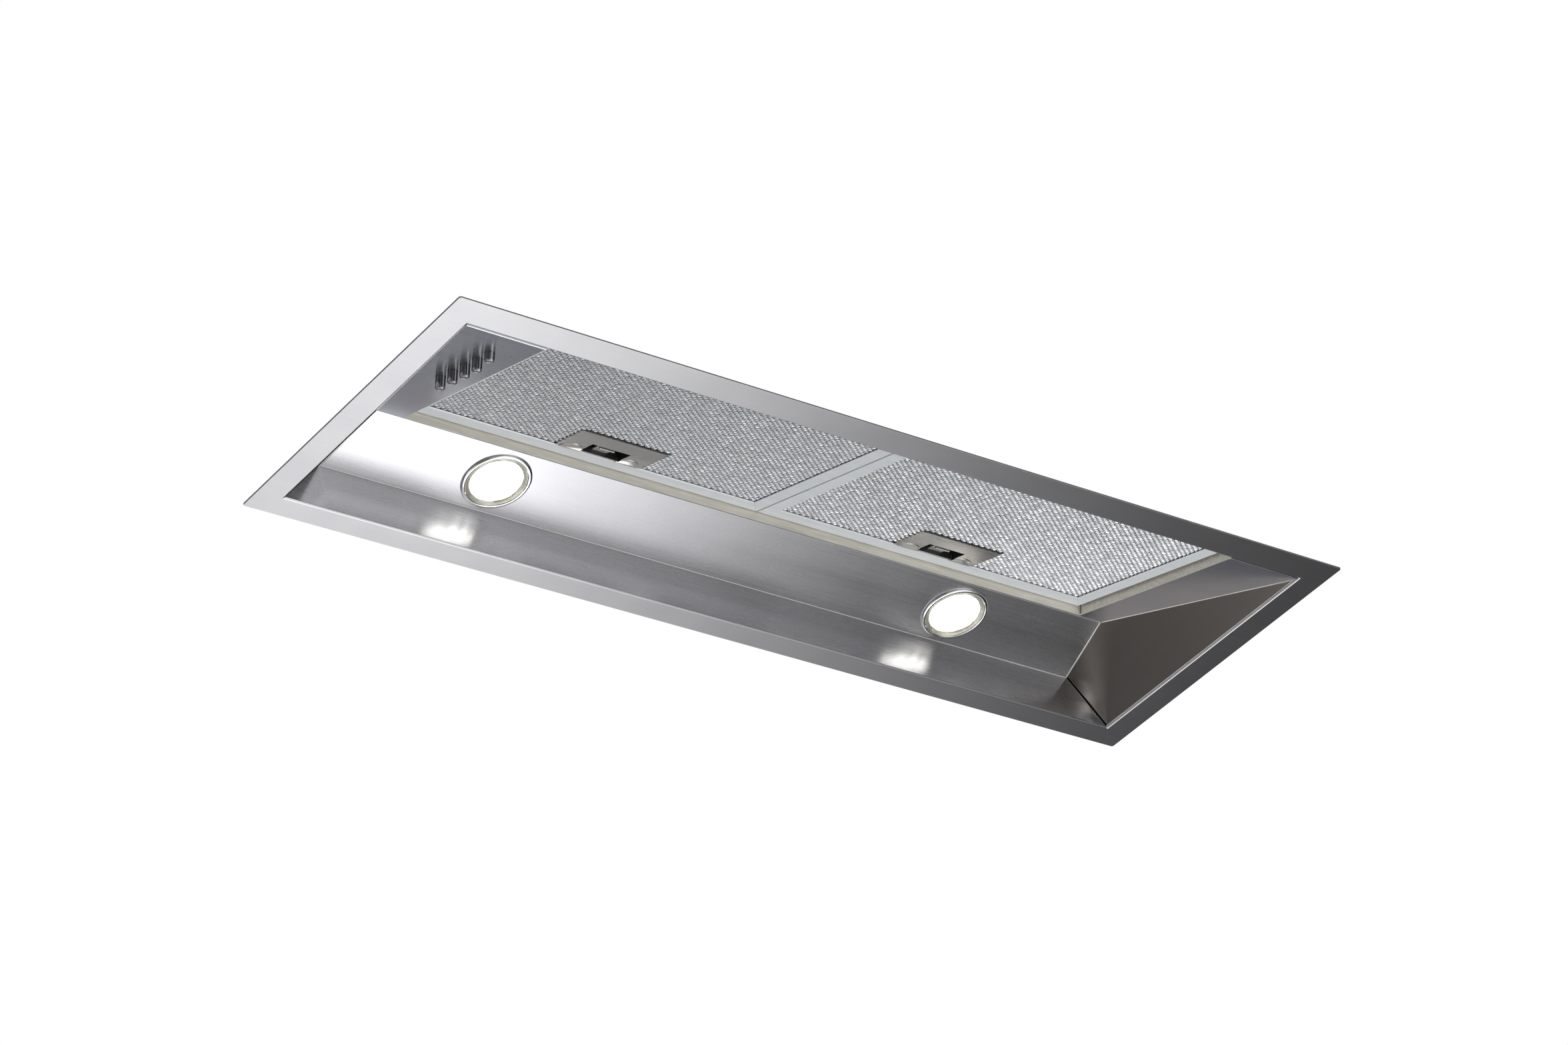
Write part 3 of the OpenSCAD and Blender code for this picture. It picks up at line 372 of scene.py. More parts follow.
@dataclass(frozen=True)
class NetStrands(TwoTone):
    """Slit and stretched aluminium foil, each strand twisted a little more or less than the next."""

    light: str = "f0f2f5"
    dark: str = "ced0d3"
    roughness: Pair = (0.46, 0.24)
    metallic: float = 0.4
    slot: Slot = field(default=Slot.MILL_ALUMINIUM, kw_only=True)

    def surface(self, tree: Tree) -> Node:
        """Adds a shader that reads each strand's own tone.

        Args:
            tree: the material's tree.

        Returns:
            The shader.
        """
        tone = add_node(tree, "ShaderNodeAttribute", attribute_name="strand_tone").outputs["Fac"]
        return self.shader(tree, (tone, 0.0, 1.0), (tone, 0.0, 1.0), {})


@dataclass(frozen=True)
class ClearGlass(Finish):
    """Pressed glass with soft mould waves, which make what lies behind it waver."""

    tint: str = "e2e0d4"
    wave_mm: float = 2.5
    relief: float = 0.2
    relief_mm: float = 0.2
    roughness: float = 0.08
    ior: float = 1.5
    clearness: float = 0.7
    slot: Slot = field(default=Slot.LAMP_LENS, kw_only=True)

    def surface(self, tree: Tree) -> Node:
        """Adds a shader that lets most of the light through.

        Args:
            tree: the material's tree.

        Returns:
            The shader.
        """
        waves = uneven_grain(tree, (1 / (self.wave_mm * MM),) * 3, 1.0)
        relief = {"Strength": self.relief, "Distance": self.relief_mm * MM, "Height": waves}
        look = {
            "Base Color": linear(self.tint),
            "Roughness": self.roughness,
            "IOR": self.ior,
            "Transmission Weight": self.clearness,
            "Normal": add_node(tree, "ShaderNodeBump", relief),
        }
        return add_node(tree, "ShaderNodeBsdfPrincipled", look)


@dataclass(frozen=True)
class GlowingFace(Finish):
    """Diffuser of a lamp that is switched on, with rows of diodes behind it.

    The rows only show where metal mirrors the lamp, because the diffuser is far brighter than white.
    """

    colour: str = "fffdf6"
    strength: Pair = (1.15, 4.4)
    row_mm: float = 10.4
    row_spread: Pair = (-0.6, 0.3)
    roughness: float = 0.4
    slot: Slot = field(default=Slot.LAMP_LENS, kw_only=True)

    def surface(self, tree: Tree) -> Node:
        """Adds a shader that glows brighter in front of each row.

        Args:
            tree: the material's tree.

        Returns:
            The shader.
        """
        place = add_node(tree, "ShaderNodeTexCoord").outputs["Object"]
        along = add_node(tree, "ShaderNodeSeparateXYZ", {0: place})
        waves = 2 * math.pi / (self.row_mm * MM)
        turns = add_node(tree, "ShaderNodeMath", {0: along, 1: waves}, operation="MULTIPLY")
        wave = add_node(tree, "ShaderNodeMath", {0: turns}, operation="SINE")
        start, end = self.row_spread
        weak, strong = self.strength
        glow = add_node(tree, "ShaderNodeMapRange", {0: wave, 1: start, 2: end, 3: weak, 4: strong})
        colour = linear(self.colour)
        light = {"Emission Color": colour, "Emission Strength": glow}
        look = {"Base Color": colour, "Roughness": self.roughness, **light}
        return add_node(tree, "ShaderNodeBsdfPrincipled", look)


# Brushed sheet smears what it mirrors across its strokes.
FLANGE_STEEL = BrushedSteel(
    "stainless_sheet_brushed_flange", "c0c0c2", "b6b6b9", (0.28, 0.34), anisotropy=0.85
)
STRIP_STEEL = BrushedSteel(
    "stainless_sheet_brushed_strip", "d8d8dc", "ceced1", (0.25, 0.31), anisotropy=1.0
)
DECK_STEEL = BrushedSteel("stainless_sheet_brushed_deck", "c6c7cd", "b9bac0", (0.16, 0.24))
# The cheeks are a darker, warmer copy of the same brushed sheet: painted shade.
CHEEK_SHADED_STEEL = BrushedSteel(
    "stainless_sheet_brushed_cheek", "98938e", "948f8a", (0.25, 0.27), grain=Grain.ACROSS_HOOD, relief=0.0
)
# Sheet and strip carry long faint streaks the way they were rolled.
STREAKS = (0.2, 1.0, 1.0)
LONG_STREAKS = (0.1, 1.0, 1.0)
# Plain pressed stainless sheet is smoother than brushed sheet, and a little warm.
PRESSED_STEEL = GrainedMetal(
    "stainless_sheet_pressed", "dad8d3", "d2cfca", (0.26, 0.3), 1.0, 12.0, 0.0, STREAKS,
    slot=Slot.BRUSHED_STAINLESS,
)
# Folds and rounded edges are painted as a bright line: a painted highlight.
FOLD_HIGHLIGHT_STEEL = GrainedMetal(
    "stainless_sheet_burnished_fold", "f2f0ec", "e6e4df", (0.3, 0.36), 0.3, 6.0, 0.0, STREAKS
)
# Walls bent up after brushing keep the mill's satin skin, streaked along the bend. Their pale warm tone is a
# painted reflection.
SATIN_AND_REFLECTION_STEEL = GrainedMetal(
    "stainless_sheet_mill_satin", "efebe1", "d8d3c6", (0.4, 0.5), 0.35, 3.0, 0.02, LONG_STREAKS
)
# The flange's outer edge is painted darker and duller than the sheet's faces: painted shade.
EDGE_SHADE_STEEL = GrainedMetal(
    "stainless_sheet_sheared_edge", "77777a", "5e5e61", (0.5, 0.6), grain_mm=2.0
)
# Roll formed aluminium is pale and satin, with a hint of blue.
ALUMINIUM = GrainedMetal(
    "aluminium_roll_formed", "e8ecef", "dfe3e7", (0.42, 0.5), 0.3, 2.0, 0.02, LONG_STREAKS,
    slot=Slot.MILL_ALUMINIUM,
)
# Foil catches the light strand by strand. The layer behind is painted darker: painted shade.
FOIL = NetStrands("aluminium_foil_expanded")
FOIL_BEHIND_SHADED = NetStrands("aluminium_foil_expanded_behind", "929395", "5c5d5f")
# Chrome mirrors the room, and nickel is softer than chrome. The buttons' chrome is a darker copy: painted
# shade for their dark sides.
BUTTON_CHROME_SHADED = GrainedMetal("chrome_plated_button", "a9abb0", "9c9ea3", (0.05, 0.09), 1.0, 8.0, 0.01)
CHROME = GrainedMetal("chrome_plated_bright", "e9eaec", "dfe1e4", (0.04, 0.08), 1.0, 8.0, 0.01)
NICKEL = GrainedMetal("nickel_plated_satin", "f2f1ee", "e6e4df", (0.22, 0.28), 0.7, 4.0, 0.01)
# Drawn wire has fine die marks, zinc plate a fine crystal, and a casting the skin of its mould.
SPRING_STEEL = GrainedMetal("spring_steel_drawn", "c6c8cb", "a9acb0", (0.18, 0.3), grain_mm=1.0)
SCREW_STEEL = GrainedMetal("steel_zinc_plated", "d2d4d2", "b7bab9", (0.22, 0.34), 1.0, 1.5, 0.06)
CAST_ALUMINIUM = GrainedMetal(
    "aluminium_die_cast", "b4b7ba", "9da0a3", (0.42, 0.55), 1.0, 0.8, 0.3, slot=Slot.GALVANISED_SHEET
)
# Zinc crystals catch the light one by one.
GALVANISED = GalvanisedSheet("steel_hot_dip_galvanised", "b9bdc0", "9a9fa3", (0.36, 0.52))
# Mouldings are matt from their mould's eroded skin, and rubber is duller than plastic.
BLACK_PLASTIC = Moulding("abs_moulded_black", "2b2b2d", "1c1c1e", (0.42, 0.55))
GREY_PLASTIC = Moulding(
    "polypropylene_moulded_grey", "5b5e62", "4c4f53", (0.45, 0.58), slot=Slot.MOULDED_GREY
)
RUBBER = Moulding("epdm_moulded_rubber", "1f1f1f", "151515", (0.65, 0.8))
GLASS = ClearGlass("glass_pressed_clear")
DIFFUSER = GlowingFace("polycarbonate_diffuser_lit")


def link(name: str, mesh: bpy.types.Mesh) -> bpy.types.Object:
    """Puts a mesh into the scene as an object at the origin.

    Args:
        name: the object's name.
        mesh: its mesh.

    Returns:
        The object.
    """
    piece = bpy.data.objects.new(name, mesh)
    bpy.context.scene.collection.objects.link(piece)
    return piece


def from_bmesh(
    name: str, shape: Shape, finish: Finish, rounded: bool = False, edge_finish: Finish | None = None
) -> bpy.types.Object:
    """Turns a bmesh into a shaded object.

    Args:
        name: what the piece is called.
        shape: its mesh, which is used up.
        finish: its finish.
        rounded: whether it has rounded edges, right up to which its faces are to look flat.
        edge_finish: finish of its rounded edges, where that is another.

    Returns:
        The object.
    """
    bmesh.ops.recalc_face_normals(shape, faces=shape.faces)
    mesh = bpy.data.meshes.new(name)
    shape.to_mesh(mesh)
    shape.free()
    mesh.shade_smooth()
    mesh.set_sharp_from_angle(angle=math.radians(ROUNDED_CREASE if rounded else PLAIN_CREASE))
    mesh.materials.append(finish.material())
    if edge_finish:
        mesh.materials.append(edge_finish.material())
    piece = link(name, mesh)
    if rounded:
        flatten(piece)
    return piece


def flatten(piece: bpy.types.Object) -> None:
    """Turns each corner's normal towards its largest face and keeps the result in the mesh.

    Args:
        piece: the piece, whose mesh changes.
    """
    weigh = piece.modifiers.new("weigh", "WEIGHTED_NORMAL")
    weigh.weight = 100
    weigh.keep_sharp = True
    evaluated = piece.evaluated_get(bpy.context.evaluated_depsgraph_get())
    flat = bpy.data.meshes.new_from_object(evaluated)
    piece.modifiers.clear()
    piece.data = flat


def grain_map(piece: bpy.types.Object, grain: Grain) -> None:
    """Adds the map whose first coordinate runs across the brush strokes.

    Args:
        piece: the brushed piece.
        grain: direction of its strokes.
    """
    mesh = piece.data
    layer = mesh.uv_layers.new(name="across_grain")
    for face in mesh.polygons:
        across = face.normal.cross(grain.value)
        if across.length < LEAST_ACROSS:
            across = UP.copy() if abs(face.normal.z) < LEVEL else Grain.ACROSS_HOOD.value.copy()
        across.normalize()
        along = across.cross(face.normal)
        for corner in face.loop_indices:
            point = mesh.vertices[mesh.loops[corner].vertex_index].co
            layer.data[corner].uv = (point.dot(across), point.dot(along))


def node_shape(node: str) -> Shape:
    """Copies a CAD node, merged, with its flat faces made whole.

    Args:
        node: the CAD node's name.

    Returns:
        The copy as a bmesh.
    """
    shape = bmesh.new()
    shape.from_mesh(frame["nodes"][node].data)
    bmesh.ops.remove_doubles(shape, verts=shape.verts, dist=MERGE)
    bmesh.ops.dissolve_limit(
        shape, angle_limit=math.radians(FLAT_TURN), verts=shape.verts, edges=shape.edges
    )
    return shape


@dataclass(frozen=True)
class Rounding:
    """How the edges of a dressed piece are rounded, in millimetres and degrees.

    The folds of a sheet turn more than fold_turn between two faces wider than fold_face, and get a
    radius of their own. Edges that turn more than edge_turn and are longer than long_edge get the
    full radius, the others what their neighbours leave room for, and the shortest stay sharp.
    """

    radius: float
    fold: float = 0.0
    shortest: float = 0.0
    long_edge: float = 1000.0
    fold_face: float = 8.0
    fold_turn: float = 10.0
    edge_turn: float = 25.0
    steps: int = 3

    def apply(self, shape: Shape, slot: int) -> None:
        """Rounds the folds, then the long edges, then the rest.

        Args:
            shape: the mesh.
            slot: material slot of the rounded faces, or -1 for that of their neighbours.
        """
        if self.fold:
            turns = self.sharp(shape, self.fold_turn)
            folds = [e for e in turns if min(map(self.breadth, e.link_faces)) > self.fold_face]
            self.bevel(shape, folds, self.fold, slot)
        for length, clamp in ((self.long_edge, False), (self.shortest, True)):
            edges = [e for e in self.sharp(shape, self.edge_turn) if e.calc_length() > length * MM]
            self.bevel(shape, edges, self.radius, slot, clamp)

    @staticmethod
    def sharp(shape: Shape, turn: float) -> list[bmesh.types.BMEdge]:
        """Edges that turn more than an angle in degrees."""
        least = math.radians(turn)
        return [e for e in shape.edges if len(e.link_faces) == 2 and e.calc_face_angle(0.0) > least]

    @staticmethod
    def breadth(face: bmesh.types.BMFace) -> float:
        """Mean breadth of a face in millimetres."""
        return 2 * face.calc_area() / face.calc_perimeter() / MM

    def bevel(
        self, shape: Shape, edges: list[bmesh.types.BMEdge], radius: float, slot: int, clamp: bool = True
    ) -> None:
        """Bevels some edges.

        Args:
            shape: the mesh.
            edges: its edges to bevel.
            radius: how far back from the edge the bevel starts, in millimetres.
            slot: material slot of the new faces, or -1 for that of their neighbours.
            clamp: whether the bevel shrinks where it would meet another.
        """
        bmesh.ops.bevel(
            shape,
            geom=edges,
            offset=radius * MM,
            offset_type="OFFSET",
            segments=self.steps,
            profile=0.5,
            affect="EDGES",
            clamp_overlap=clamp,
            material=slot,
        )


def settle(piece: bpy.types.Object, node: str, stands_in: bool = True) -> bpy.types.Object:
    """Ties a piece to its body and the node it stands for.

    Args:
        piece: the finished piece.
        node: CAD node on the body that carries the piece.
        stands_in: whether the piece replaces that node.

    Returns:
        The piece.
    """
    body = frame["nodes"][node]["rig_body"]
    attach(piece, body)
    if stands_in:
        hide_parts(node)
    LOG.info("%s: %d faces, on %s", piece.name, len(piece.data.polygons), body)
    return piece


def dress(
    node: str,
    finish: Finish,
    rounding: Rounding | None = None,
    edge_finish: Finish | None = None,
    change: Callable[[Shape], None] | None = None,
) -> bpy.types.Object:
    """Stands a shaded copy with rounded edges in for a CAD node.

    Args:
        node: the CAD node.
        finish: the copy's finish.
        rounding: how its edges are rounded, or None to leave them.
        edge_finish: finish of its rounded edges, where that is another.
        change: a further change to the copy before its edges are rounded.

    Returns:
        The piece, which rides on the node's body.
    """
    shape = node_shape(node)
    if change:
        change(shape)
    if rounding:
        rounding.apply(shape, 1 if edge_finish else -1)
    piece = from_bmesh(f"{node}_dressed", shape, finish, bool(rounding), edge_finish)
    if isinstance(finish, BrushedSteel):
        grain_map(piece, finish.grain)
    return settle(piece, node)


def repaint(piece: bpy.types.Object, finish: Finish, back: Matrix, choose: Chooser) -> None:
    """Gives some faces of a piece another finish.

    Args:
        piece: the piece.
        finish: the other finish.
        back: matrix from the hood's frame to the one in which faces are chosen.
        choose: takes a face's centre, normal and area in millimetres, and says whether it changes.
    """
    mesh = piece.data
    mesh.materials.append(finish.material())
    turn = back.to_3x3()
    for face in mesh.polygons:
        if choose(back @ face.center / MM, turn @ face.normal, face.area / MM**2):
            face.material_index = len(mesh.materials) - 1


def paint(finish: Finish, *nodes: str) -> None:
    """Gives CAD nodes that stay their finish.

    Args:
        finish: the finish.
        nodes: the CAD nodes' names.
    """
    for node in nodes:
        mesh = frame["nodes"][node].data
        mesh.materials.clear()
        mesh.materials.append(finish.material())
        LOG.info("%s: finish %s", node, finish.name)


def turned(
    name: str, outline: Sequence[Pair], place: Matrix, finish: Finish, steps: int = 96
) -> bpy.types.Object:
    """Turns a closed outline round the local Z axis.

    Args:
        name: the piece's name.
        outline: radius and height of each point in millimetres; ends at radius zero are closed.
        place: matrix from the local frame to the hood's, in metres.
        finish: its finish.
        steps: points round a circle.

    Returns:
        The turned piece.
    """
    shape = bmesh.new()
    rings: list[list[bmesh.types.BMVert]] = []
    for radius, height in outline:
        if radius <= 0:
            rings.append([shape.verts.new(place @ Vector((0, 0, height * MM)))])
            continue
        turns = (2 * math.pi * i / steps for i in range(steps))
        points = (Vector((radius * MM * math.cos(a), radius * MM * math.sin(a), height * MM)) for a in turns)
        rings.append([shape.verts.new(place @ point) for point in points])
    pairs = list(zip(rings, rings[1:]))
    if outline[0][0] > 0 and outline[-1][0] > 0:
        pairs.append((rings[-1], rings[0]))
    for lower, upper in pairs:
        for i in range(steps):
            j = (i + 1) % steps
            if len(lower) == 1:
                shape.faces.new((lower[0], upper[i], upper[j]))
            elif len(upper) == 1:
                shape.faces.new((lower[i], lower[j], upper[0]))
            else:
                shape.faces.new((lower[i], lower[j], upper[j], upper[i]))
    return from_bmesh(name, shape, finish)


def grown(
    name: str,
    tree: Tree,
    finish: Finish,
    lengths: dict[str, float],
    others: Inputs,
    seed_mesh: bpy.types.Mesh | None = None,
) -> bpy.types.Object:
    """Runs a geometry tree once and keeps the result as a plain mesh.

    Args:
        name: the piece's name.
        tree: the geometry tree.
        finish: the piece's finish.
        lengths: millimetres for each of the tree's named lengths.
        others: a value for each of its other named inputs.
        seed_mesh: the mesh that the tree starts from, if it needs one.

    Returns:
        The grown piece, with no modifier on it.
    """
    host = link(name + "_host", seed_mesh or bpy.data.meshes.new(name + "_seed"))
    modifier = host.modifiers.new("grow", "NODES")
    modifier.node_group = tree
    values = {label: length * MM for label, length in lengths.items()}
    values.update(others, Material=finish.material())
    sockets = [s for s in tree.interface.items_tree if s.item_type == "SOCKET" and s.in_out == "INPUT"]
    identifiers = {s.name: s.identifier for s in sockets}
    for label, value in values.items():
        modifier[identifiers[label]] = value
    evaluated = host.evaluated_get(bpy.context.evaluated_depsgraph_get())
    mesh = bpy.data.meshes.new_from_object(evaluated)
    bpy.data.objects.remove(host)
    mesh.name = name
    return link(name, mesh)


def tree_with(name: str, floats: Sequence[str], wholes: Sequence[str] = ()) -> tuple[Tree, Sockets]:
    """Makes an empty geometry tree with named inputs, the last of them its material.

    Args:
        name: the tree's name.
        floats: names of its lengths, angles and other fractions.
        wholes: names of its whole numbers.

    Returns:
        The tree and its inputs as sockets to link from.
    """
    tree = bpy.data.node_groups.new(name, "GeometryNodeTree")
    groups = (("Geometry", ("Geometry",)), ("Float", floats), ("Int", wholes), ("Material", ("Material",)))
    for kind, labels in groups:
        for label in labels:
            tree.interface.new_socket(label, in_out="INPUT", socket_type=f"NodeSocket{kind}")
    tree.interface.new_socket("Geometry", in_out="OUTPUT", socket_type="NodeSocketGeometry")
    return tree, tree.nodes.new("NodeGroupInput").outputs


def end_tree(tree: Tree, geometry: Node, material: bpy.types.NodeSocket) -> Tree:
    """Closes a tree with real geometry and its material.

    Args:
        tree: the tree.
        geometry: node that gives the geometry.
        material: socket that gives the material.

    Returns:
        The tree.
    """
    real = add_node(tree, "GeometryNodeRealizeInstances", {0: geometry})
    painted = add_node(tree, "GeometryNodeSetMaterial", {0: real, "Material": material})
    add_node(tree, "NodeGroupOutput", {0: painted})
    return tree


# How far each cell of the net is rocked at most, in radians.
NET_ROCK = (0.1, 0.1, 0.03)
SCREW_SIZES = ("Head radius", "Head height", "Shank radius", "Shank length")
# Lower radius, upper radius and top of each cone of a screw's head, and the bar of its recess, in
# shares of the head's radius and height.
HEAD_CONES = ((1.0, 1.0, 0.35), (1.0, 0.86, 0.8), (0.86, 0.5, 1.0))
RECESS_BAR = (1.1, 0.24, 1.0)


@cache
def expanded_net_tree() -> Tree:
    """Builds the tree for one layer of expanded foil in the XY plane.

    Each dot of a staggered grid carries two crossed strands. One way they are flat leaves, twisted
    to the light, the other way narrow links. A window at one long side stays free for the pull.

    Returns:
        The tree.
    """
    tree, given = tree_with(
        "expanded_net",
        (
            "Column pitch", "Row pitch", "First column", "First row", "Leaf length", "Leaf width",
            "Link length", "Link width", "Thickness", "Strand offset", "Scatter", "Window centre",
            "Window half width", "Window end", "Twist", "Lean",
        ),
        ("Dots", "Columns", "Seed"),
    )
    add = partial(add_node, tree)
    index = add("GeometryNodeInputIndex")
    rows = add("ShaderNodeMath", {0: index, 1: given["Columns"]}, operation="DIVIDE")
    row = add("ShaderNodeMath", {0: rows}, operation="FLOOR")
    column = add("ShaderNodeMath", {0: index, 1: given["Columns"]}, operation="MODULO")
    odd = add("ShaderNodeMath", {0: row, 1: 2.0}, operation="MODULO")
    step = add("ShaderNodeMath", {0: odd, 1: 0.5, 2: column}, operation="MULTIPLY_ADD")
    across = {0: step, 1: given["Column pitch"], 2: given["First column"]}
    x = add("ShaderNodeMath", across, operation="MULTIPLY_ADD")
    up = {0: row, 1: given["Row pitch"], 2: given["First row"]}
    y = add("ShaderNodeMath", up, operation="MULTIPLY_ADD")
    place = add("ShaderNodeCombineXYZ", {0: x, 1: y})
    line = add("GeometryNodeMeshLine", {"Count": given["Dots"], "Offset": (0.0, 0.0, 0.0)})
    ends = {0: (-1.0, -1.0, -1.0), 1: (1.0, 1.0, 1.0)}
    jitter = add("FunctionNodeRandomValue", {**ends, "Seed": given["Seed"]}, data_type="FLOAT_VECTOR")
    shift = add("ShaderNodeVectorMath", {0: jitter, "Scale": given["Scatter"]}, operation="SCALE")
    moved = add("ShaderNodeVectorMath", {0: place, 1: shift}, operation="ADD")
    dots = add("GeometryNodeSetPosition", {0: line, "Position": moved})
    window = {0: x, 1: given["Window centre"], 2: given["Window half width"]}
    near_x = add("ShaderNodeMath", window, operation="COMPARE")
    near_y = add("ShaderNodeMath", {0: y, 1: given["Window end"]}, operation="LESS_THAN")
    free = add("ShaderNodeMath", {0: near_x, 1: near_y}, operation="MULTIPLY")
    kept = add("GeometryNodeDeleteGeometry", {0: dots, 1: free}, domain="POINT")
    disc = add("GeometryNodeMeshCylinder", {"Vertices": 8, "Radius": 0.5, "Depth": 1.0})
    laid = add("GeometryNodeTransform", {0: disc, "Rotation": (math.pi / 2, 0.0, 0.0)})
    sizes = []
    for strand in ("Leaf", "Link"):
        length, width = (given[f"{strand} {measure}"] for measure in ("length", "width"))
        sizes.append(add("ShaderNodeCombineXYZ", {0: length, 1: given["Thickness"], 2: width}))
    leaf = add("GeometryNodeTransform", {0: laid, "Scale": sizes[0]})
    bar = add("GeometryNodeMeshCube", {"Size": sizes[1]})
    twist = add("ShaderNodeCombineXYZ", {0: given["Twist"]})
    strands = []
    for sense, strand in ((-1.0, leaf), (1.0, bar)):
        rolled = add("GeometryNodeTransform", {0: strand, "Rotation": twist})
        lean = add("ShaderNodeMath", {0: given["Lean"], 1: sense}, operation="MULTIPLY")
        offset = add("ShaderNodeMath", {0: given["Strand offset"], 1: sense}, operation="MULTIPLY")
        turn = add("ShaderNodeCombineXYZ", {2: lean})
        aside = add("ShaderNodeCombineXYZ", {0: offset})
        strands.append(add("GeometryNodeTransform", {0: rolled, "Rotation": turn, "Translation": aside}))
    cell = add("GeometryNodeJoinGeometry", {0: strands})
    rock = add("ShaderNodeVectorMath", {0: jitter, 1: NET_ROCK}, operation="MULTIPLY")
    cells = add("GeometryNodeInstanceOnPoints", {"Points": kept, "Instance": cell, "Rotation": rock})
    tones = add("FunctionNodeRandomValue", {2: 0.0, 3: 1.0, "Seed": given["Seed"]}, data_type="FLOAT")
    toned = add(
        "GeometryNodeStoreNamedAttribute",
        {0: cells, "Name": "strand_tone", "Value": tones.outputs[1]},
        data_type="FLOAT",
        domain="INSTANCE",
    )
    return end_tree(tree, toned, given["Material"])


@cache
def coil_tree() -> Tree:
    """Builds the tree for a wire coil along Z, from zero up to its length.

    Returns:
        The tree.
    """
    tree, given = tree_with("wire_coil", ("Radius", "Wire radius", "Length", "Turns"))
    add = partial(add_node, tree)
    less_wire = {0: given["Wire radius"], 1: -2.0, 2: given["Length"]}
    rise = add("ShaderNodeMath", less_wire, operation="MULTIPLY_ADD")
    radii = {"Start Radius": given["Radius"], "End Radius": given["Radius"]}
    path = {"Resolution": 28, "Rotations": given["Turns"], **radii, "Height": rise}
    spiral = add("GeometryNodeCurveSpiral", path)
    section = {"Resolution": 8, "Radius": given["Wire radius"]}
    wire = add("GeometryNodeCurvePrimitiveCircle", section, mode="RADIUS")
    tube = add("GeometryNodeCurveToMesh", {"Curve": spiral, "Profile Curve": wire, "Fill Caps": True})
    lift = add("ShaderNodeCombineXYZ", {2: given["Wire radius"]})
    lifted = add("GeometryNodeTransform", {0: tube, "Translation": lift})
    smooth = add("GeometryNodeSetShadeSmooth", {0: lifted})
    return end_tree(tree, smooth, given["Material"])


@cache
def screw_tree() -> Tree:
    """Builds the tree that sets a cross recess pan head screw on each point, along its axis attribute.

    Returns:
        The tree.
    """
    tree, given = tree_with("pan_head_screws", SCREW_SIZES)
    add = partial(add_node, tree)
    cones = []
    foot = 0.0
    for low, high, top in HEAD_CONES:
        sizes = {"Vertices": 24, "Radius Bottom": low, "Radius Top": high, "Depth": top - foot}
        cone = add("GeometryNodeMeshCone", sizes)
        cones.append(add("GeometryNodeTransform", {0: cone, "Translation": (0.0, 0.0, foot)}))
        foot = top
    stack = add("GeometryNodeJoinGeometry", {0: cones})
    radius, height = given["Head radius"], given["Head height"]
    size = add("ShaderNodeCombineXYZ", {0: radius, 1: radius, 2: height})
    head = add("GeometryNodeTransform", {0: stack, "Scale": size})
    welded = add("GeometryNodeMergeByDistance", {0: head, "Distance": WELD})
    slot = add("GeometryNodeMeshCube", {"Size": RECESS_BAR})
    up = add("ShaderNodeCombineXYZ", {2: height})
    slots = [
        add("GeometryNodeTransform", {0: slot, "Translation": up, "Rotation": turn, "Scale": size})
        for turn in ((0.0, 0.0, 0.0), (0.0, 0.0, math.pi / 2))
    ]
    cut = add("GeometryNodeMeshBoolean", {0: welded, "Mesh 2": slots}, operation="DIFFERENCE", solver="EXACT")
    rod = {"Vertices": 16, "Radius": given["Shank radius"], "Depth": given["Shank length"]}
    shank = add("GeometryNodeMeshCylinder", rod)
    half = add("ShaderNodeMath", {0: given["Shank length"], 1: -0.5}, operation="MULTIPLY")
    drop = add("ShaderNodeCombineXYZ", {2: half})
    sunk = add("GeometryNodeTransform", {0: shank, "Translation": drop})
    whole = add("GeometryNodeJoinGeometry", {0: [cut, sunk]})
    axis = add("GeometryNodeInputNamedAttribute", {"Name": "axis"}, data_type="FLOAT_VECTOR")
    turn = add("FunctionNodeAlignRotationToVector", {"Vector": axis}, axis="Z")
    seats = {"Points": given["Geometry"], "Instance": whole, "Rotation": turn}
    return end_tree(tree, add("GeometryNodeInstanceOnPoints", seats), given["Material"])


@dataclass(frozen=True)
class Coil:
    """Compression spring of round wire along its own Z, from zero up."""

    radius: float
    wire: float
    length: float
    turns: float

    def wind(self, name: str, place: Matrix) -> bpy.types.Object:
        """Winds the spring.

        Args:
            name: the piece's name.
            place: matrix from the spring's frame to the hood's.

        Returns:
            The piece.
        """
        lengths = {"Radius": self.radius, "Wire radius": self.wire, "Length": self.length}
        piece = grown(name, coil_tree(), SPRING_STEEL, lengths, {"Turns": self.turns})
        piece.data.transform(place)
        return piece


@dataclass(frozen=True)
class DeckFrame:
    """Frames of the two sloping sheets, as the CAD source has them."""

    rear_y: float = 121.0
    rise: float = 0.3
    tilt: float = 16.4
    length: float = 189.215
    lamp_tilt: float = 11.9

    @property
    def fold(self) -> Pair:
        """Y and Z of the fold between the deck and the lamp strip."""
        tilt = math.radians(self.tilt)
        return self.rear_y - self.length * math.cos(tilt), self.rise + self.length * math.sin(tilt)

    def deck(self, x: float = 0.0, s: float = 0.0, w: float = 0.0) -> Matrix:
        """Gives a frame on the deck.

        Args:
            x: place along the hood.
            s: place up the slope.
            w: height above the deck.

        Returns:
            Matrix whose Z points out of the top of the deck.
        """
        turn = Matrix.Rotation(math.radians(-self.tilt), 4, "X")
        foot = Matrix.Translation((0.0, self.rear_y * MM, self.rise * MM))
        return foot @ turn @ Matrix.Translation((x * MM, -s * MM, w * MM))

    def lamp(self, x: float, d: float) -> Matrix:
        """Gives a frame on the lamp strip.

        Args:
            x: place along the hood.
            d: distance from the fold.

        Returns:
            Matrix whose Z points out of the top of the strip.
        """
        y, z = self.fold
        turn = Matrix.Rotation(math.radians(self.lamp_tilt), 4, "X")
        return Matrix.Translation((0.0, y * MM, z * MM)) @ turn @ Matrix.Translation((x * MM, -d * MM, 0.0))


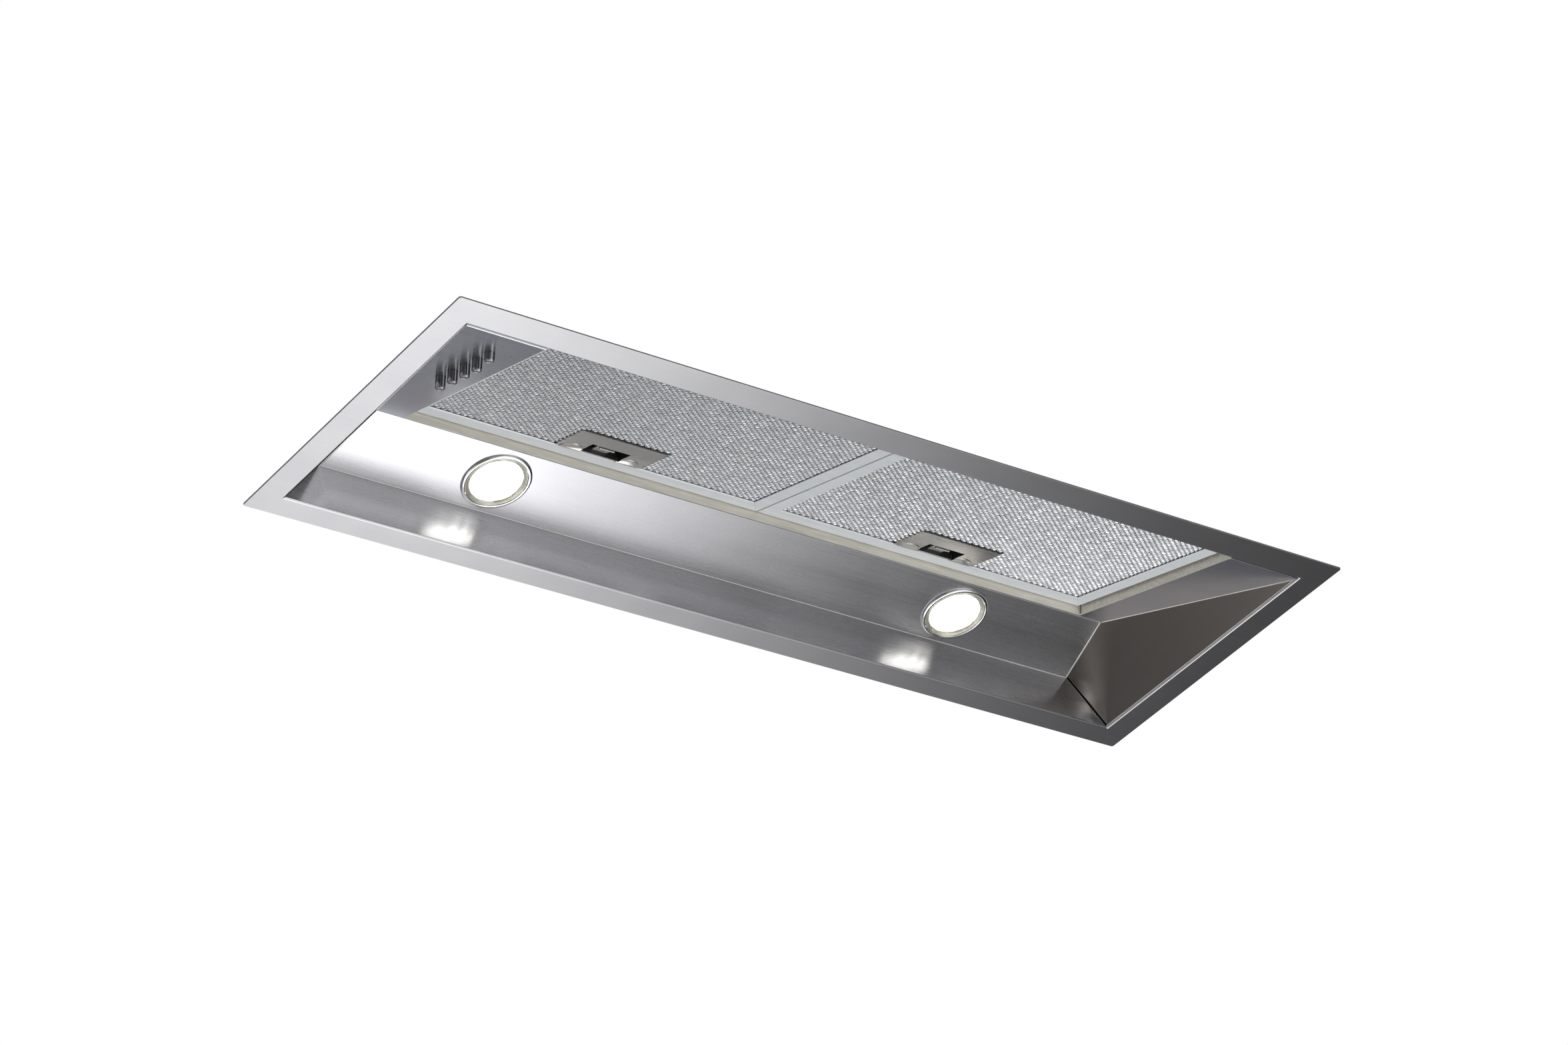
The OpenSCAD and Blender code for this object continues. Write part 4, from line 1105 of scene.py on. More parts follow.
@dataclass(frozen=True)
class EndStrip:
    """Strip at each end of a sheet, along its cheeks, painted bright: a painted highlight.

    The cheek's line is given in the deck's frame by its normal and its distance from the middle,
    and the faces by the range of their normal's height.
    """

    across: float
    along: float
    reach: float
    width: float
    facings: tuple[Pair, ...]
    place: DeckFrame = DeckFrame()

    def score(self, shape: Shape) -> None:
        """Cuts the faces along the inner edge of both strips.

        Args:
            shape: the sheet's mesh.
        """
        deck = self.place.deck()
        for side in Side:
            normal = Vector((side.value * self.across, -self.along, 0.0))
            point = deck @ (normal * (self.reach - self.width) * MM)
            geometry = [*shape.verts, *shape.edges, *shape.faces]
            bmesh.ops.bisect_plane(shape, geom=geometry, plane_co=point, plane_no=deck.to_3x3() @ normal)

    def holds(self, centre: Vector, normal: Vector, _area: float) -> bool:
        """Whether a face is on one of the strips."""
        reach = abs(centre.x) * self.across - centre.y * self.along
        return reach > self.reach - self.width and any(low < normal.z < high for low, high in self.facings)


@dataclass
class Canopy:
    """Flange and the folded sheets inside it."""

    place: DeckFrame
    flange_edge: Rounding = Rounding(0.6)
    sheet_edge: Rounding = Rounding(0.45, 1.3, long_edge=60.0)
    deck_edge: Rounding = Rounding(0.45, 1.3)
    rail_edge: Rounding = Rounding(0.2)
    lip: Rounding = Rounding(1.8, steps=5)
    lip_z: float = 0.3
    opening: Pair = (407.0, 126.0)
    outline: Pair = (429.5, 146.5)
    window_x: float = 337.0
    wall_z: float = 0.6
    wall_area: float = 60.0
    wall_lean: float = 0.9
    edge_lean: float = 0.3
    lip_turn: float = 57.3
    crease: EndStrip = EndStrip(0.9694, 0.2456, 395.4, 1.7, ((-1.1, -0.9), (0.9, 1.1)))
    seam: EndStrip = EndStrip(0.9796, -0.2011, 313.4, 1.4, ((-0.95, -0.8),))

    def build(self) -> None:
        """Dresses the flange, deck, lamp strip and cheeks."""
        deck_frame = self.place.deck().inverted()
        flange = dress("flange_frame", FLANGE_STEEL, self.flange_edge, change=self.roll_lip)
        # The flange's outer edge faces are painted darker: painted shade.
        repaint(flange, EDGE_SHADE_STEEL, Matrix.Identity(4), self.on_outer_edge)
        # The deck's rounded folds and edges are painted bright: painted highlight.
        deck = dress("filter_deck", DECK_STEEL, self.deck_edge, FOLD_HIGHLIGHT_STEEL, self.crease.score)
        # The walls round the opening are painted pale and warm: painted reflection.
        repaint(deck, SATIN_AND_REFLECTION_STEEL, deck_frame, self.on_return)
        # The thin strips along the deck's ends are painted bright: painted highlight.
        repaint(deck, FOLD_HIGHLIGHT_STEEL, deck_frame, self.crease.holds)
        # The strip's rounded edges, and thin strips along its ends, are painted bright: painted highlight.
        strip = dress("lamp_panel", STRIP_STEEL, self.sheet_edge, FOLD_HIGHLIGHT_STEEL, self.seam.score)
        repaint(strip, FOLD_HIGHLIGHT_STEEL, deck_frame, self.seam.holds)
        for side in Side:
            # The cheeks are a darker copy of the sheet, painted shade; their rounded edges are painted
            # bright, painted highlight.
            dress(f"{side.word}_end_panel", CHEEK_SHADED_STEEL, self.sheet_edge, FOLD_HIGHLIGHT_STEEL)
        dress("filter_rail", GALVANISED, self.rail_edge)

    def on_outer_edge(self, centre: Vector, normal: Vector, _area: float) -> bool:
        """Whether a face is on the outer edge of the flange, which is painted darker as shade."""
        reach_x, reach_y = self.outline
        return abs(normal.z) < self.edge_lean and (abs(centre.x) > reach_x or abs(centre.y) > reach_y)

    def on_return(self, centre: Vector, normal: Vector, area: float) -> bool:
        """Whether a face is on the walls that stand round the filters' opening."""
        stands = area > self.wall_area and abs(normal.z) < self.wall_lean
        return stands and centre.z > self.wall_z and abs(centre.x) < self.window_x

    def roll_lip(self, shape: Shape) -> None:
        """Rolls the lower edge of the flange's opening, where its sheet is folded.

        Args:
            shape: the flange's mesh.
        """
        reach_x, reach_y = (v * MM for v in self.opening)

        def on_lip(point: Vector) -> bool:
            """Whether a point is on the opening's lower edge."""
            return point.z < self.lip_z * MM and abs(point.x) < reach_x and abs(point.y) < reach_y

        turning = self.lip.sharp(shape, self.lip_turn)
        edges = [e for e in turning if all(on_lip(v.co) for v in e.verts)]
        self.lip.bevel(shape, edges, self.lip.radius, 0, clamp=False)


@dataclass
class FilterPair:
    """Both net filters with their frames, pulls, latches and springs."""

    place: DeckFrame
    centre_x: float = 166.15
    half_length: float = 165.5
    ends_s: Pair = (-6.0, 187.015)
    border: float = 15.0
    end_border: float = 13.0
    covered_border: float = 8.4
    mitre_gap: float = 0.1
    slot_half: float = 7.3
    slot_w: Pair = (10.3, 12.3)
    window: Pair = (305.0, 163.0)
    window_s: float = 90.5
    tucked: float = 4.0
    net_w: float = 8.6
    layer_step: float = 1.2
    layers: int = 2
    seed: int = 7
    seed_step: int = 5
    pitch: Pair = (6.25, 4.95)
    pitch_change: Pair = (0.03, -0.02)
    leaf: Pair = (0.76, 1.62)
    link: Pair = (1.1, 0.6)
    foil_mm: float = 0.2
    lean: Pair = (-50.0, -42.0)
    scatter: float = 0.03
    pull_room: float = 41.0
    pull_edge: Rounding = Rounding(0.3, shortest=3.0)
    latch_edge: Rounding = Rounding(0.2)
    pocket: tuple[Point, Point] = ((-18.4, -169.9, 7.4), (18.4, -152.1, 14.6))
    coil: Coil = Coil(1.6, 0.3, 11.7, 6.0)
    coil_keep: float = 0.55
    lug: Pair = (172.6, 11.3)

    def build(self) -> None:
        """Builds both filters."""
        for side in Side:
            self.frame(side)
            self.net(side)
            self.pull(side)
            self.latch_spring(side)

    def frame(self, side: Side) -> None:
        """Lofts the mitred bars of the folded channel, with the latch's slot in the front one.

        Args:
            side: which filter.
        """
        half, slot = self.half_length, self.slot_half
        rear, front = self.ends_s
        left, right = (end / self.border for end in self.end_borders(side))
        long_bar = self.channel(self.border)
        bars = [
            ((-half, rear), (half, rear), long_bar, (left, right)),
            ((half, rear), (half, front), self.channel(right * self.border), (1 / right, 1 / right)),
            ((-half, front), (-half, rear), self.channel(left * self.border), (1 / left, 1 / left)),
            ((half, front), (slot, front), long_bar, (right, 0.0)),
            ((-slot, front), (-half, front), long_bar, (0.0, left)),
        ]
        bars += [((slot, front), (-slot, front), part, (0.0, 0.0)) for part in self.slotted(long_bar)]
        shape = bmesh.new()
        for start, end, section, mitres in bars:
            self.bar(shape, self.place.deck(side.value * self.centre_x), (start, end), section, mitres)
        node = f"{side.word}_filter_frame"
        settle(from_bmesh(f"{node}_dressed", shape, ALUMINIUM, True), node)

    def end_borders(self, side: Side) -> Pair:
        """Width of the border at the left and right end; beside the buttons the net covers part of it."""
        return self.end_border, self.covered_border if side is Side.RIGHT else self.end_border

    @staticmethod
    def channel(border: float) -> Section:
        """Draws the section of the folded channel.

        Args:
            border: how wide it is.

        Returns:
            Depth and height of each point.
        """
        return (
            (0.0, 7.7), (0.2, 7.2), (0.7, 7.0), (border - 1.6, 7.0), (border - 0.8, 7.12),
            (border - 0.25, 7.4), (border, 7.75), (border - 0.2, 7.85), (0.8, 7.85), (0.8, 15.2),
            (border, 15.2), (border, 16.0), (0.7, 16.0), (0.2, 15.8), (0.0, 15.3),
        )

    def slotted(self, section: Section) -> tuple[Section, Section]:
        """Splits a section at the slot that the latch passes.

        Args:
            section: the channel's section.

        Returns:
            Its part below the slot and its part above.
        """
        low, high = self.slot_w
        first = section.index((0.8, 7.85))
        lower = section[: first + 1] + ((0.8, low), (0.0, low))
        upper = ((0.0, high), (0.8, high)) + section[first + 1 :]
        return lower, upper

    def bar(
        self, shape: Shape, place: Matrix, ends: tuple[Pair, Pair], section: Section, mitres: Pair
    ) -> None:
        """Lofts one bar of the channel between two points of the filter's outline.

        Args:
            shape: the mesh that gets the bar.
            place: frame of the filter.
            ends: x and s of its outer edge where it starts and where it ends.
            section: how far inwards and how high each point of its section lies.
            mitres: how far each end runs back for each millimetre of depth; zero leaves it square.
        """
        start, end = ends
        along = Vector((end[0] - start[0], start[1] - end[1], 0.0)).normalized()
        inwards = UP.cross(along) * -1.0
        rings = []
        for (x, s), mitre, sense in ((start, mitres[0], 1.0), (end, mitres[1], -1.0)):
            ring = []
            for depth, height in section:
                step = sense * (mitre * depth + (self.mitre_gap if mitre else 0.0))
                point = Vector((x, -s, height)) + along * step + inwards * depth
                ring.append(shape.verts.new(place @ (point * MM)))
            rings.append(ring)
        count = len(section)
        for i in range(count):
            j = (i + 1) % count
            shape.faces.new((rings[0][i], rings[0][j], rings[1][j], rings[1][i]))
        for ring in rings:
            shape.faces.new(ring)

    def net(self, side: Side) -> None:
        """Grows the layers of expanded foil, the upper one a little coarser and in the shade.

        Args:
            side: which filter.
        """
        node = f"{side.word}_filter_mesh"
        wider = self.end_border - self.end_borders(side)[1]
        for layer in range(self.layers):
            x, y = (p * (1.0 + change * layer) for p, change in zip(self.pitch, self.pitch_change))
            columns = round((self.window[0] + wider + self.tucked) / x)
            rows = round((self.window[1] + self.tucked) / y) * 2
            first_row = (1 - rows) / 4 * y
            reach = math.hypot(x, y) / 2
            lengths = {
                "Column pitch": x,
                "Row pitch": y / 2,
                "First column": (0.5 - columns) / 2 * x,
                "First row": first_row,
                "Leaf length": self.leaf[0] * reach,
                "Leaf width": self.leaf[1],
                "Link length": self.link[0] * reach,
                "Link width": self.link[1],
                "Thickness": self.foil_mm,
                "Strand offset": x / 4,
                "Scatter": self.scatter,
                "Window centre": -wider / 2,
                "Window half width": self.pull_room,
                "Window end": first_row + self.pull_room,
            }
            others = {
                "Twist": math.radians(self.lean[layer]),
                "Lean": math.atan2(y, x),
                "Dots": columns * rows,
                "Columns": columns,
                "Seed": self.seed + self.seed_step * layer + side.value,
            }
            # The layer behind is a darker copy of the foil: painted shade.
            finish = FOIL_BEHIND_SHADED if layer else FOIL
            piece = grown(f"{side.word}_net_layer_{layer + 1}", expanded_net_tree(), finish, lengths, others)
            middle = side.value * self.centre_x + wider / 2
            piece.data.transform(self.place.deck(middle, self.window_s, self.net_w + self.layer_step * layer))
            settle(piece, node, layer == 0)

    def pull(self, side: Side) -> None:
        """Dresses the pressed pull and its sliding latch.

        Args:
            side: which filter.
        """
        # The pull's rounded edges are painted bright: painted highlight.
        pull = dress(f"{side.word}_filter_handle", PRESSED_STEEL, self.pull_edge, FOLD_HIGHLIGHT_STEEL)
        back = self.place.deck(side.value * self.centre_x).inverted()
        # The inside of the finger pocket is painted black: painted shade.
        repaint(pull, BLACK_PLASTIC, back, self.in_pocket)
        dress(f"{side.word}_filter_latch", NICKEL, self.latch_edge)

    def in_pocket(self, centre: Vector, _normal: Vector, _area: float) -> bool:
        """Whether a face is inside the finger pocket, which is painted black as its shade."""
        low, high = self.pocket
        return all(least < c < most for least, c, most in zip(low, centre, high))

    def latch_spring(self, side: Side) -> None:
        """Winds the latch's spring at one fixed length.

        Args:
            side: which filter.
        """
        place = self.place.deck(side.value * self.centre_x, *self.lug)
        piece = self.coil.wind(f"{side.word}_latch_coil", place @ Matrix.Rotation(math.pi / 2, 4, "X"))
        settle(piece, f"{side.word}_latch_spring")
        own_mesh(piece)


@dataclass
class Lamps:
    """Two round lamps in the sloping strip."""

    place: DeckFrame
    offset: Pair = (227.3, 33.3)
    ring_r: float = 28.6
    rim_r: float = 25.2
    glow_r: float = 21.6
    glow_gap: float = 0.15
    lobes: int = 44
    lobe_depth: float = 0.02
    lobe_fade: float = 1.2

    def build(self) -> None:
        """Builds both lamps."""
        for side in Side:
            place = self.place.lamp(side.value * self.offset[0], self.offset[1])
            self.ring(side, place)
            self.lens(side, place)
            self.glow(side, place)
            paint(CAST_ALUMINIUM, f"{side.word}_lamp_body")
        paint(SPRING_STEEL, "lamp_clips")
        paint(BLACK_PLASTIC, "lamp_driver")

    def ring(self, side: Side, place: Matrix) -> None:
        """Turns the chrome bezel.

        Args:
            side: which lamp.
            place: the lamp's frame.
        """
        r = self.ring_r
        outline = (
            (r - 3.2, -1.5), (r - 2.9, -1.85), (r - 2.2, -2.0), (r - 1.4, -1.95), (r - 0.6, -1.6),
            (r - 0.15, -1.0), (r, -0.4), (r, -0.05), (r - 2.9, -0.05), (r - 2.9, 4.0),
            (r - 3.7, 4.0), (r - 3.7, 3.2), (r - 3.2, 3.2),
        )
        settle(turned(f"{side.word}_bezel", outline, place, CHROME), f"{side.word}_lamp_ring")

    def lens(self, side: Side, place: Matrix) -> None:
        """Turns the clear stepped rim of the lens and moves its inner wall into small flutes.

        Args:
            side: which lamp.
            place: the lamp's frame.
        """
        r, g = self.rim_r, self.glow_r
        outline = (
            (g, -0.3), (g + 0.7, -0.9), (g + 1.6, -1.25), (r - 0.2, -1.3), (r, -1.1), (r, 2.9), (g, 2.9),
        )
        piece = turned(f"{side.word}_lens_rim", outline, place, GLASS)
        back = place.inverted()
        for vertex in piece.data.vertices:
            point = back @ vertex.co
            beyond = math.hypot(point.x, point.y) - g * MM
            share = max(0.0, 1.0 - beyond / (self.lobe_fade * MM))
            lobe = 0.5 + 0.5 * math.cos(self.lobes * math.atan2(point.y, point.x))
            wave = 1.0 + self.lobe_depth * share * lobe
            vertex.co = place @ Vector((point.x * wave, point.y * wave, point.z))
        settle(piece, f"{side.word}_lamp_lens")

    def glow(self, side: Side, place: Matrix) -> None:
        """Turns the glowing diffuser behind the clear rim.

        Args:
            side: which lamp.
            place: the lamp's frame.
        """
        r = self.glow_r - self.glow_gap
        outline = (
            (0.0, -0.35), (r * 0.5, -0.3), (r * 0.8, -0.2), (r * 0.95, -0.1), (r, 0.05), (r, 0.3), (0.0, 0.3),
        )
        piece = turned(f"{side.word}_diffuser", outline, place, DIFFUSER)
        settle(piece, f"{side.word}_lamp_lens", False)


@dataclass
class ButtonRow:
    """Five chrome push buttons with their springs and switch block. The light button is pressed."""

    place: DeckFrame
    x: float = 361.3
    first_s: float = 35.8
    pitch: float = 16.0
    radius: float = 3.9
    out: float = 10.0
    travel: float = 3.2
    collar: Pair = (1.1, 1.5)
    inner: Pair = (3.0, 9.0)
    steps: int = 64
    coil_foot: float = 4.6
    coil_roof: float = 23.05
    coil_wire: float = 0.25
    coil_turns: float = 5.0
    coil_inset: float = 0.3
    coil_gap: float = 0.1
    names: tuple[str, ...] = ("light", "low", "medium", "high", "off")

    def build(self) -> None:
        """Builds the row."""
        for i, name in enumerate(self.names):
            pressed = 0.0 if i else self.travel
            self.button(name, self.first_s + i * self.pitch, pressed)
            self.spring(name, self.first_s + i * self.pitch, pressed)
        paint(BLACK_PLASTIC, "switch_block")

    def button(self, name: str, s: float, pressed: float) -> None:
        """Turns one button with its polished rim, its collar and its stem.

        Args:
            name: which button.
            s: its place up the deck.
            pressed: how far it is pressed.
        """
        r = self.radius
        wide, thick = self.collar
        foot, end = (self.out + depth for depth in self.inner)
        outline = (
            (0.0, 0.25), (r - 1.5, 0.22), (r - 1.25, 0.1), (r - 0.95, 0.0), (r - 0.6, 0.05),
            (r - 0.25, 0.3), (r - 0.05, 0.7), (r, 1.1), (r, foot), (r + wide, foot),
            (r + wide, foot + thick), (r - 1.0, foot + thick), (r - 1.0, end), (0.0, end),
        )
        place = self.place.deck(self.x, s, pressed - self.out)
        # The buttons' chrome is a darker copy: painted shade.
        piece = turned(f"{name}_button_chromed", outline, place, BUTTON_CHROME_SHADED, self.steps)
        settle(piece, f"{name}_button")

    def spring(self, name: str, s: float, pressed: float) -> None:
        """Winds the return spring, which shortens as its button is pressed.

        Args:
            name: which button.
            s: its place up the deck.
            pressed: how far the button is pressed.
        """
        foot = self.coil_foot + pressed
        room = self.coil_roof - foot
        radius = self.radius - self.coil_inset
        coil = Coil(radius, self.coil_wire, room - self.coil_gap, self.coil_turns)
        piece = coil.wind(f"{name}_button_coil", self.place.deck(self.x, s, foot))
        settle(piece, "button_springs", pressed > 0)
        if not pressed:
            top = self.place.deck(self.x, s, self.coil_roof)
            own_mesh(piece)


@dataclass
class Fasteners:
    """Pan head screws of the housing, blower and switch block, grown on their places.

    Each group's sizes are its head radius, head height, shank radius and shank length.
    """

    place: DeckFrame
    shell_x: float = 407.15
    cover_z: float = 238.05
    cover_x: float = 301.0
    cover_y: float = 128.2
    cover_end_x: float = 401.2
    collar_y: float = 22.0
    collar_z: float = 239.55
    collar_holes: Pair = (64.0, 50.0)
    clip_holes: Pair = (18.0, 60.0)
    switch_x: float = 361.3
    switch_holes: tuple[Pair, float] = ((31.8, 103.8), 15.0)
    switch_w: float = 3.6
    arm_centre: Point = (-66.05, -38.0, 154.0)
    arm_r: float = 62.0
    arm_turns: tuple[float, ...] = (60.0, 180.0, 300.0)

    def build(self) -> None:
        """Sets every group of screws."""
        columns = (-self.cover_x, 0.0, self.cover_x)
        cover = [(x, y * self.cover_y, self.cover_z) for x in columns for y in (-1, 1)]
        cover += [(x * self.cover_end_x, 0.0, self.cover_z) for x in (-1, 1)]
        self.group("cover_screws", [(p, UP) for p in cover], (3.4, 2.0, 1.45, 6.0))
        out_x, out_y = self.collar_holes
        collar = [(x * out_x, self.collar_y + y * out_y, self.collar_z) for x in (-1, 1) for y in (-1, 1)]
        self.group("collar_screws", [(p, UP) for p in collar], (3.4, 2.2, 1.6, 8.0))
        out_y, z = self.clip_holes
        clips = [((x * self.shell_x, y * out_y, z), Vector((-x, 0.0, 0.0))) for x in (-1, 1) for y in (-1, 1)]
        self.group("clip_screws", clips, (3.8, 2.2, 2.0, 3.5))
        rows, out_x = self.switch_holes
        holes = [self.place.deck(self.switch_x + x * out_x, s, self.switch_w) for s in rows for x in (-1, 1)]
        switch = [(hole.translation / MM, hole.to_3x3() @ UP) for hole in holes]
        self.group("switch_screws", switch, (2.4, 1.6, 1.15, 3.4))
        x, y, z = self.arm_centre
        turns = [math.radians(degrees) for degrees in self.arm_turns]
        ends = [(x, y + self.arm_r * math.cos(turn), z + self.arm_r * math.sin(turn)) for turn in turns]
        self.group("bracket_screws", [(p, Vector((-1.0, 0.0, 0.0))) for p in ends], (3.2, 2.0, 1.5, 9.5))

    def group(
        self, node: str, places: Sequence[tuple[Sequence[float], Vector]], sizes: tuple[float, ...]
    ) -> None:
        """Grows one group of screws and stands it in for its node.

        Args:
            node: the CAD node.
            places: seat of each head, and the way the head faces.
            sizes: the group's sizes.
        """
        seats = bpy.data.meshes.new(node + "_seats")
        seats.from_pydata([tuple(c * MM for c in p) for p, _ in places], [], [])
        axes = seats.attributes.new("axis", "FLOAT_VECTOR", "POINT")
        axes.data.foreach_set("vector", [c for _, a in places for c in a])
        lengths = dict(zip(SCREW_SIZES, sizes))
        piece = grown(f"{node}_cross_head", screw_tree(), SCREW_STEEL, lengths, {}, seats)
        settle(piece, node)


@dataclass
class Housing:
    """Zinc coated box over the canopy with its cover, clips and wiring."""

    shell_edge: Rounding = Rounding(0.35)
    sheet_edge: Rounding = Rounding(0.3)
    clip_edge: Rounding = Rounding(0.25)

    def build(self) -> None:
        """Dresses the housing."""
        dress("housing_shell", GALVANISED, self.shell_edge)
        dress("top_cover", GALVANISED, self.sheet_edge)
        for side in Side:
            dress(f"{side.word}_side_clip", SPRING_STEEL, self.clip_edge)
        dress("cable_gland", BLACK_PLASTIC, self.sheet_edge)
        paint(BLACK_PLASTIC, "terminal_box", "gland_nut")
        paint(GREY_PLASTIC, "terminal_cover")


@dataclass
class Blower:
    """Scroll, impeller and motor, and the outlet with its flaps."""

    bracket_edge: Rounding = Rounding(0.3)

    def build(self) -> None:
        """Gives the blower and the outlet their finishes."""
        for node in ("left_scroll", "right_scroll"):
            dress(node, GREY_PLASTIC)
        dress("motor_body", CAST_ALUMINIUM)
        dress("motor_bracket", GALVANISED, self.bracket_edge)
        for node in ("duct_collar", "front_flap", "rear_flap"):
            dress(node, GREY_PLASTIC)
        paint(GREY_PLASTIC, "impeller")
        paint(SPRING_STEEL, "motor_shaft", "flap_pin")
        paint(RUBBER, "bracket_grommets")
        paint(BLACK_PLASTIC, "motor_capacitor")


@dataclass(frozen=True)
class Fade:
    """One fade of a card: its axis, where it starts and ends, and the strength at both."""

    axis: Axis
    start: float
    end: float
    first: float
    last: float


@dataclass(frozen=True)
class FadingLight(Finish):
    """Light of a staging card, with fades that are multiplied together."""

    strength: float
    fades: tuple[Fade, ...] = ()
    tint: str = WHITE

    def surface(self, tree: Tree) -> Node:
        """Adds an emission that fades from place to place.

        Args:
            tree: the material's tree.

        Returns:
            The emission.
        """
        place = add_node(tree, "ShaderNodeTexCoord").outputs["Object"]
        axes = add_node(tree, "ShaderNodeSeparateXYZ", {0: place}).outputs
        level: object = self.strength
        for fade in self.fades:
            ramp = {0: axes[fade.axis.value], 1: fade.start, 2: fade.end, 3: fade.first, 4: fade.last}
            share = add_node(tree, "ShaderNodeMapRange", ramp, interpolation_type="SMOOTHSTEP")
            level = add_node(tree, "ShaderNodeMath", {0: level, 1: share}, operation="MULTIPLY")
        return add_node(tree, "ShaderNodeEmission", {"Color": linear(self.tint), "Strength": level})


@dataclass(frozen=True)
class PaleFloor(FadingLight):
    """Matt pale floor that is clear from below, and a fading card to the metal."""

    matt: str = "f4f3f1"

    def surface(self, tree: Tree) -> Node:
        """Adds the floor's look for the camera and its light for all else.

        Args:
            tree: the material's tree.

        Returns:
            The mixed shader.
        """
        glow = super().surface(tree)
        direct = add_node(tree, "ShaderNodeLightPath").outputs["Is Camera Ray"]
        matt = add_node(tree, "ShaderNodeBsdfDiffuse", {"Color": linear(self.matt)})
        clear = add_node(tree, "ShaderNodeBsdfTransparent")
        behind = add_node(tree, "ShaderNodeNewGeometry").outputs["Backfacing"]
        seen = add_node(tree, "ShaderNodeMixShader", {0: behind, 1: matt, 2: clear})
        return add_node(tree, "ShaderNodeMixShader", {0: direct, 1: glow, 2: seen})


@dataclass(frozen=True)
class BoardPaint(Finish):
    """White painted board that is clear from above, and for rays other than the picture's."""

    def surface(self, tree: Tree) -> Node:
        """Adds the board's look.

        Args:
            tree: the material's tree.

        Returns:
            The mixed shader.
        """
        behind = add_node(tree, "ShaderNodeNewGeometry").outputs["Backfacing"]
        front = add_node(tree, "ShaderNodeMath", {0: 1.0, 1: behind}, operation="SUBTRACT")
        share = add_node(tree, "ShaderNodeMath", {0: picture_ray(tree), 1: front}, operation="MULTIPLY")
        clear = add_node(tree, "ShaderNodeBsdfTransparent")
        white = add_node(tree, "ShaderNodeEmission", {"Color": linear(WHITE), "Strength": 1.0})
        return add_node(tree, "ShaderNodeMixShader", {0: share, 1: clear, 2: white})


def picture_ray(tree: Tree) -> Node | bpy.types.NodeSocket:
    """Finds the rays that should see the white background.

    Args:
        tree: the tree that asks.

    Returns:
        What is one for rays from the camera, off metal and through glass.
    """
    rays = add_node(tree, "ShaderNodeLightPath").outputs
    share = rays["Is Camera Ray"]
    for name in ("Is Glossy Ray", "Is Transmission Ray"):
        share = add_node(tree, "ShaderNodeMath", {0: share, 1: rays[name]}, operation="MAXIMUM")
    return share


def stand(
    name: str, points: Sequence[Point], finish: Finish, faces: Sequence[Sequence[int]] = ((0, 1, 2, 3),)
) -> bpy.types.Object:
    """Stands a flat piece of staging in the scene.

    Args:
        name: its name.
        points: its corners in metres.
        finish: its look.
        faces: its faces.

    Returns:
        The piece.
    """
    mesh = bpy.data.meshes.new(name)
    mesh.from_pydata(points, [], faces)
    mesh.materials.append(finish.material())
    return link(name, mesh)


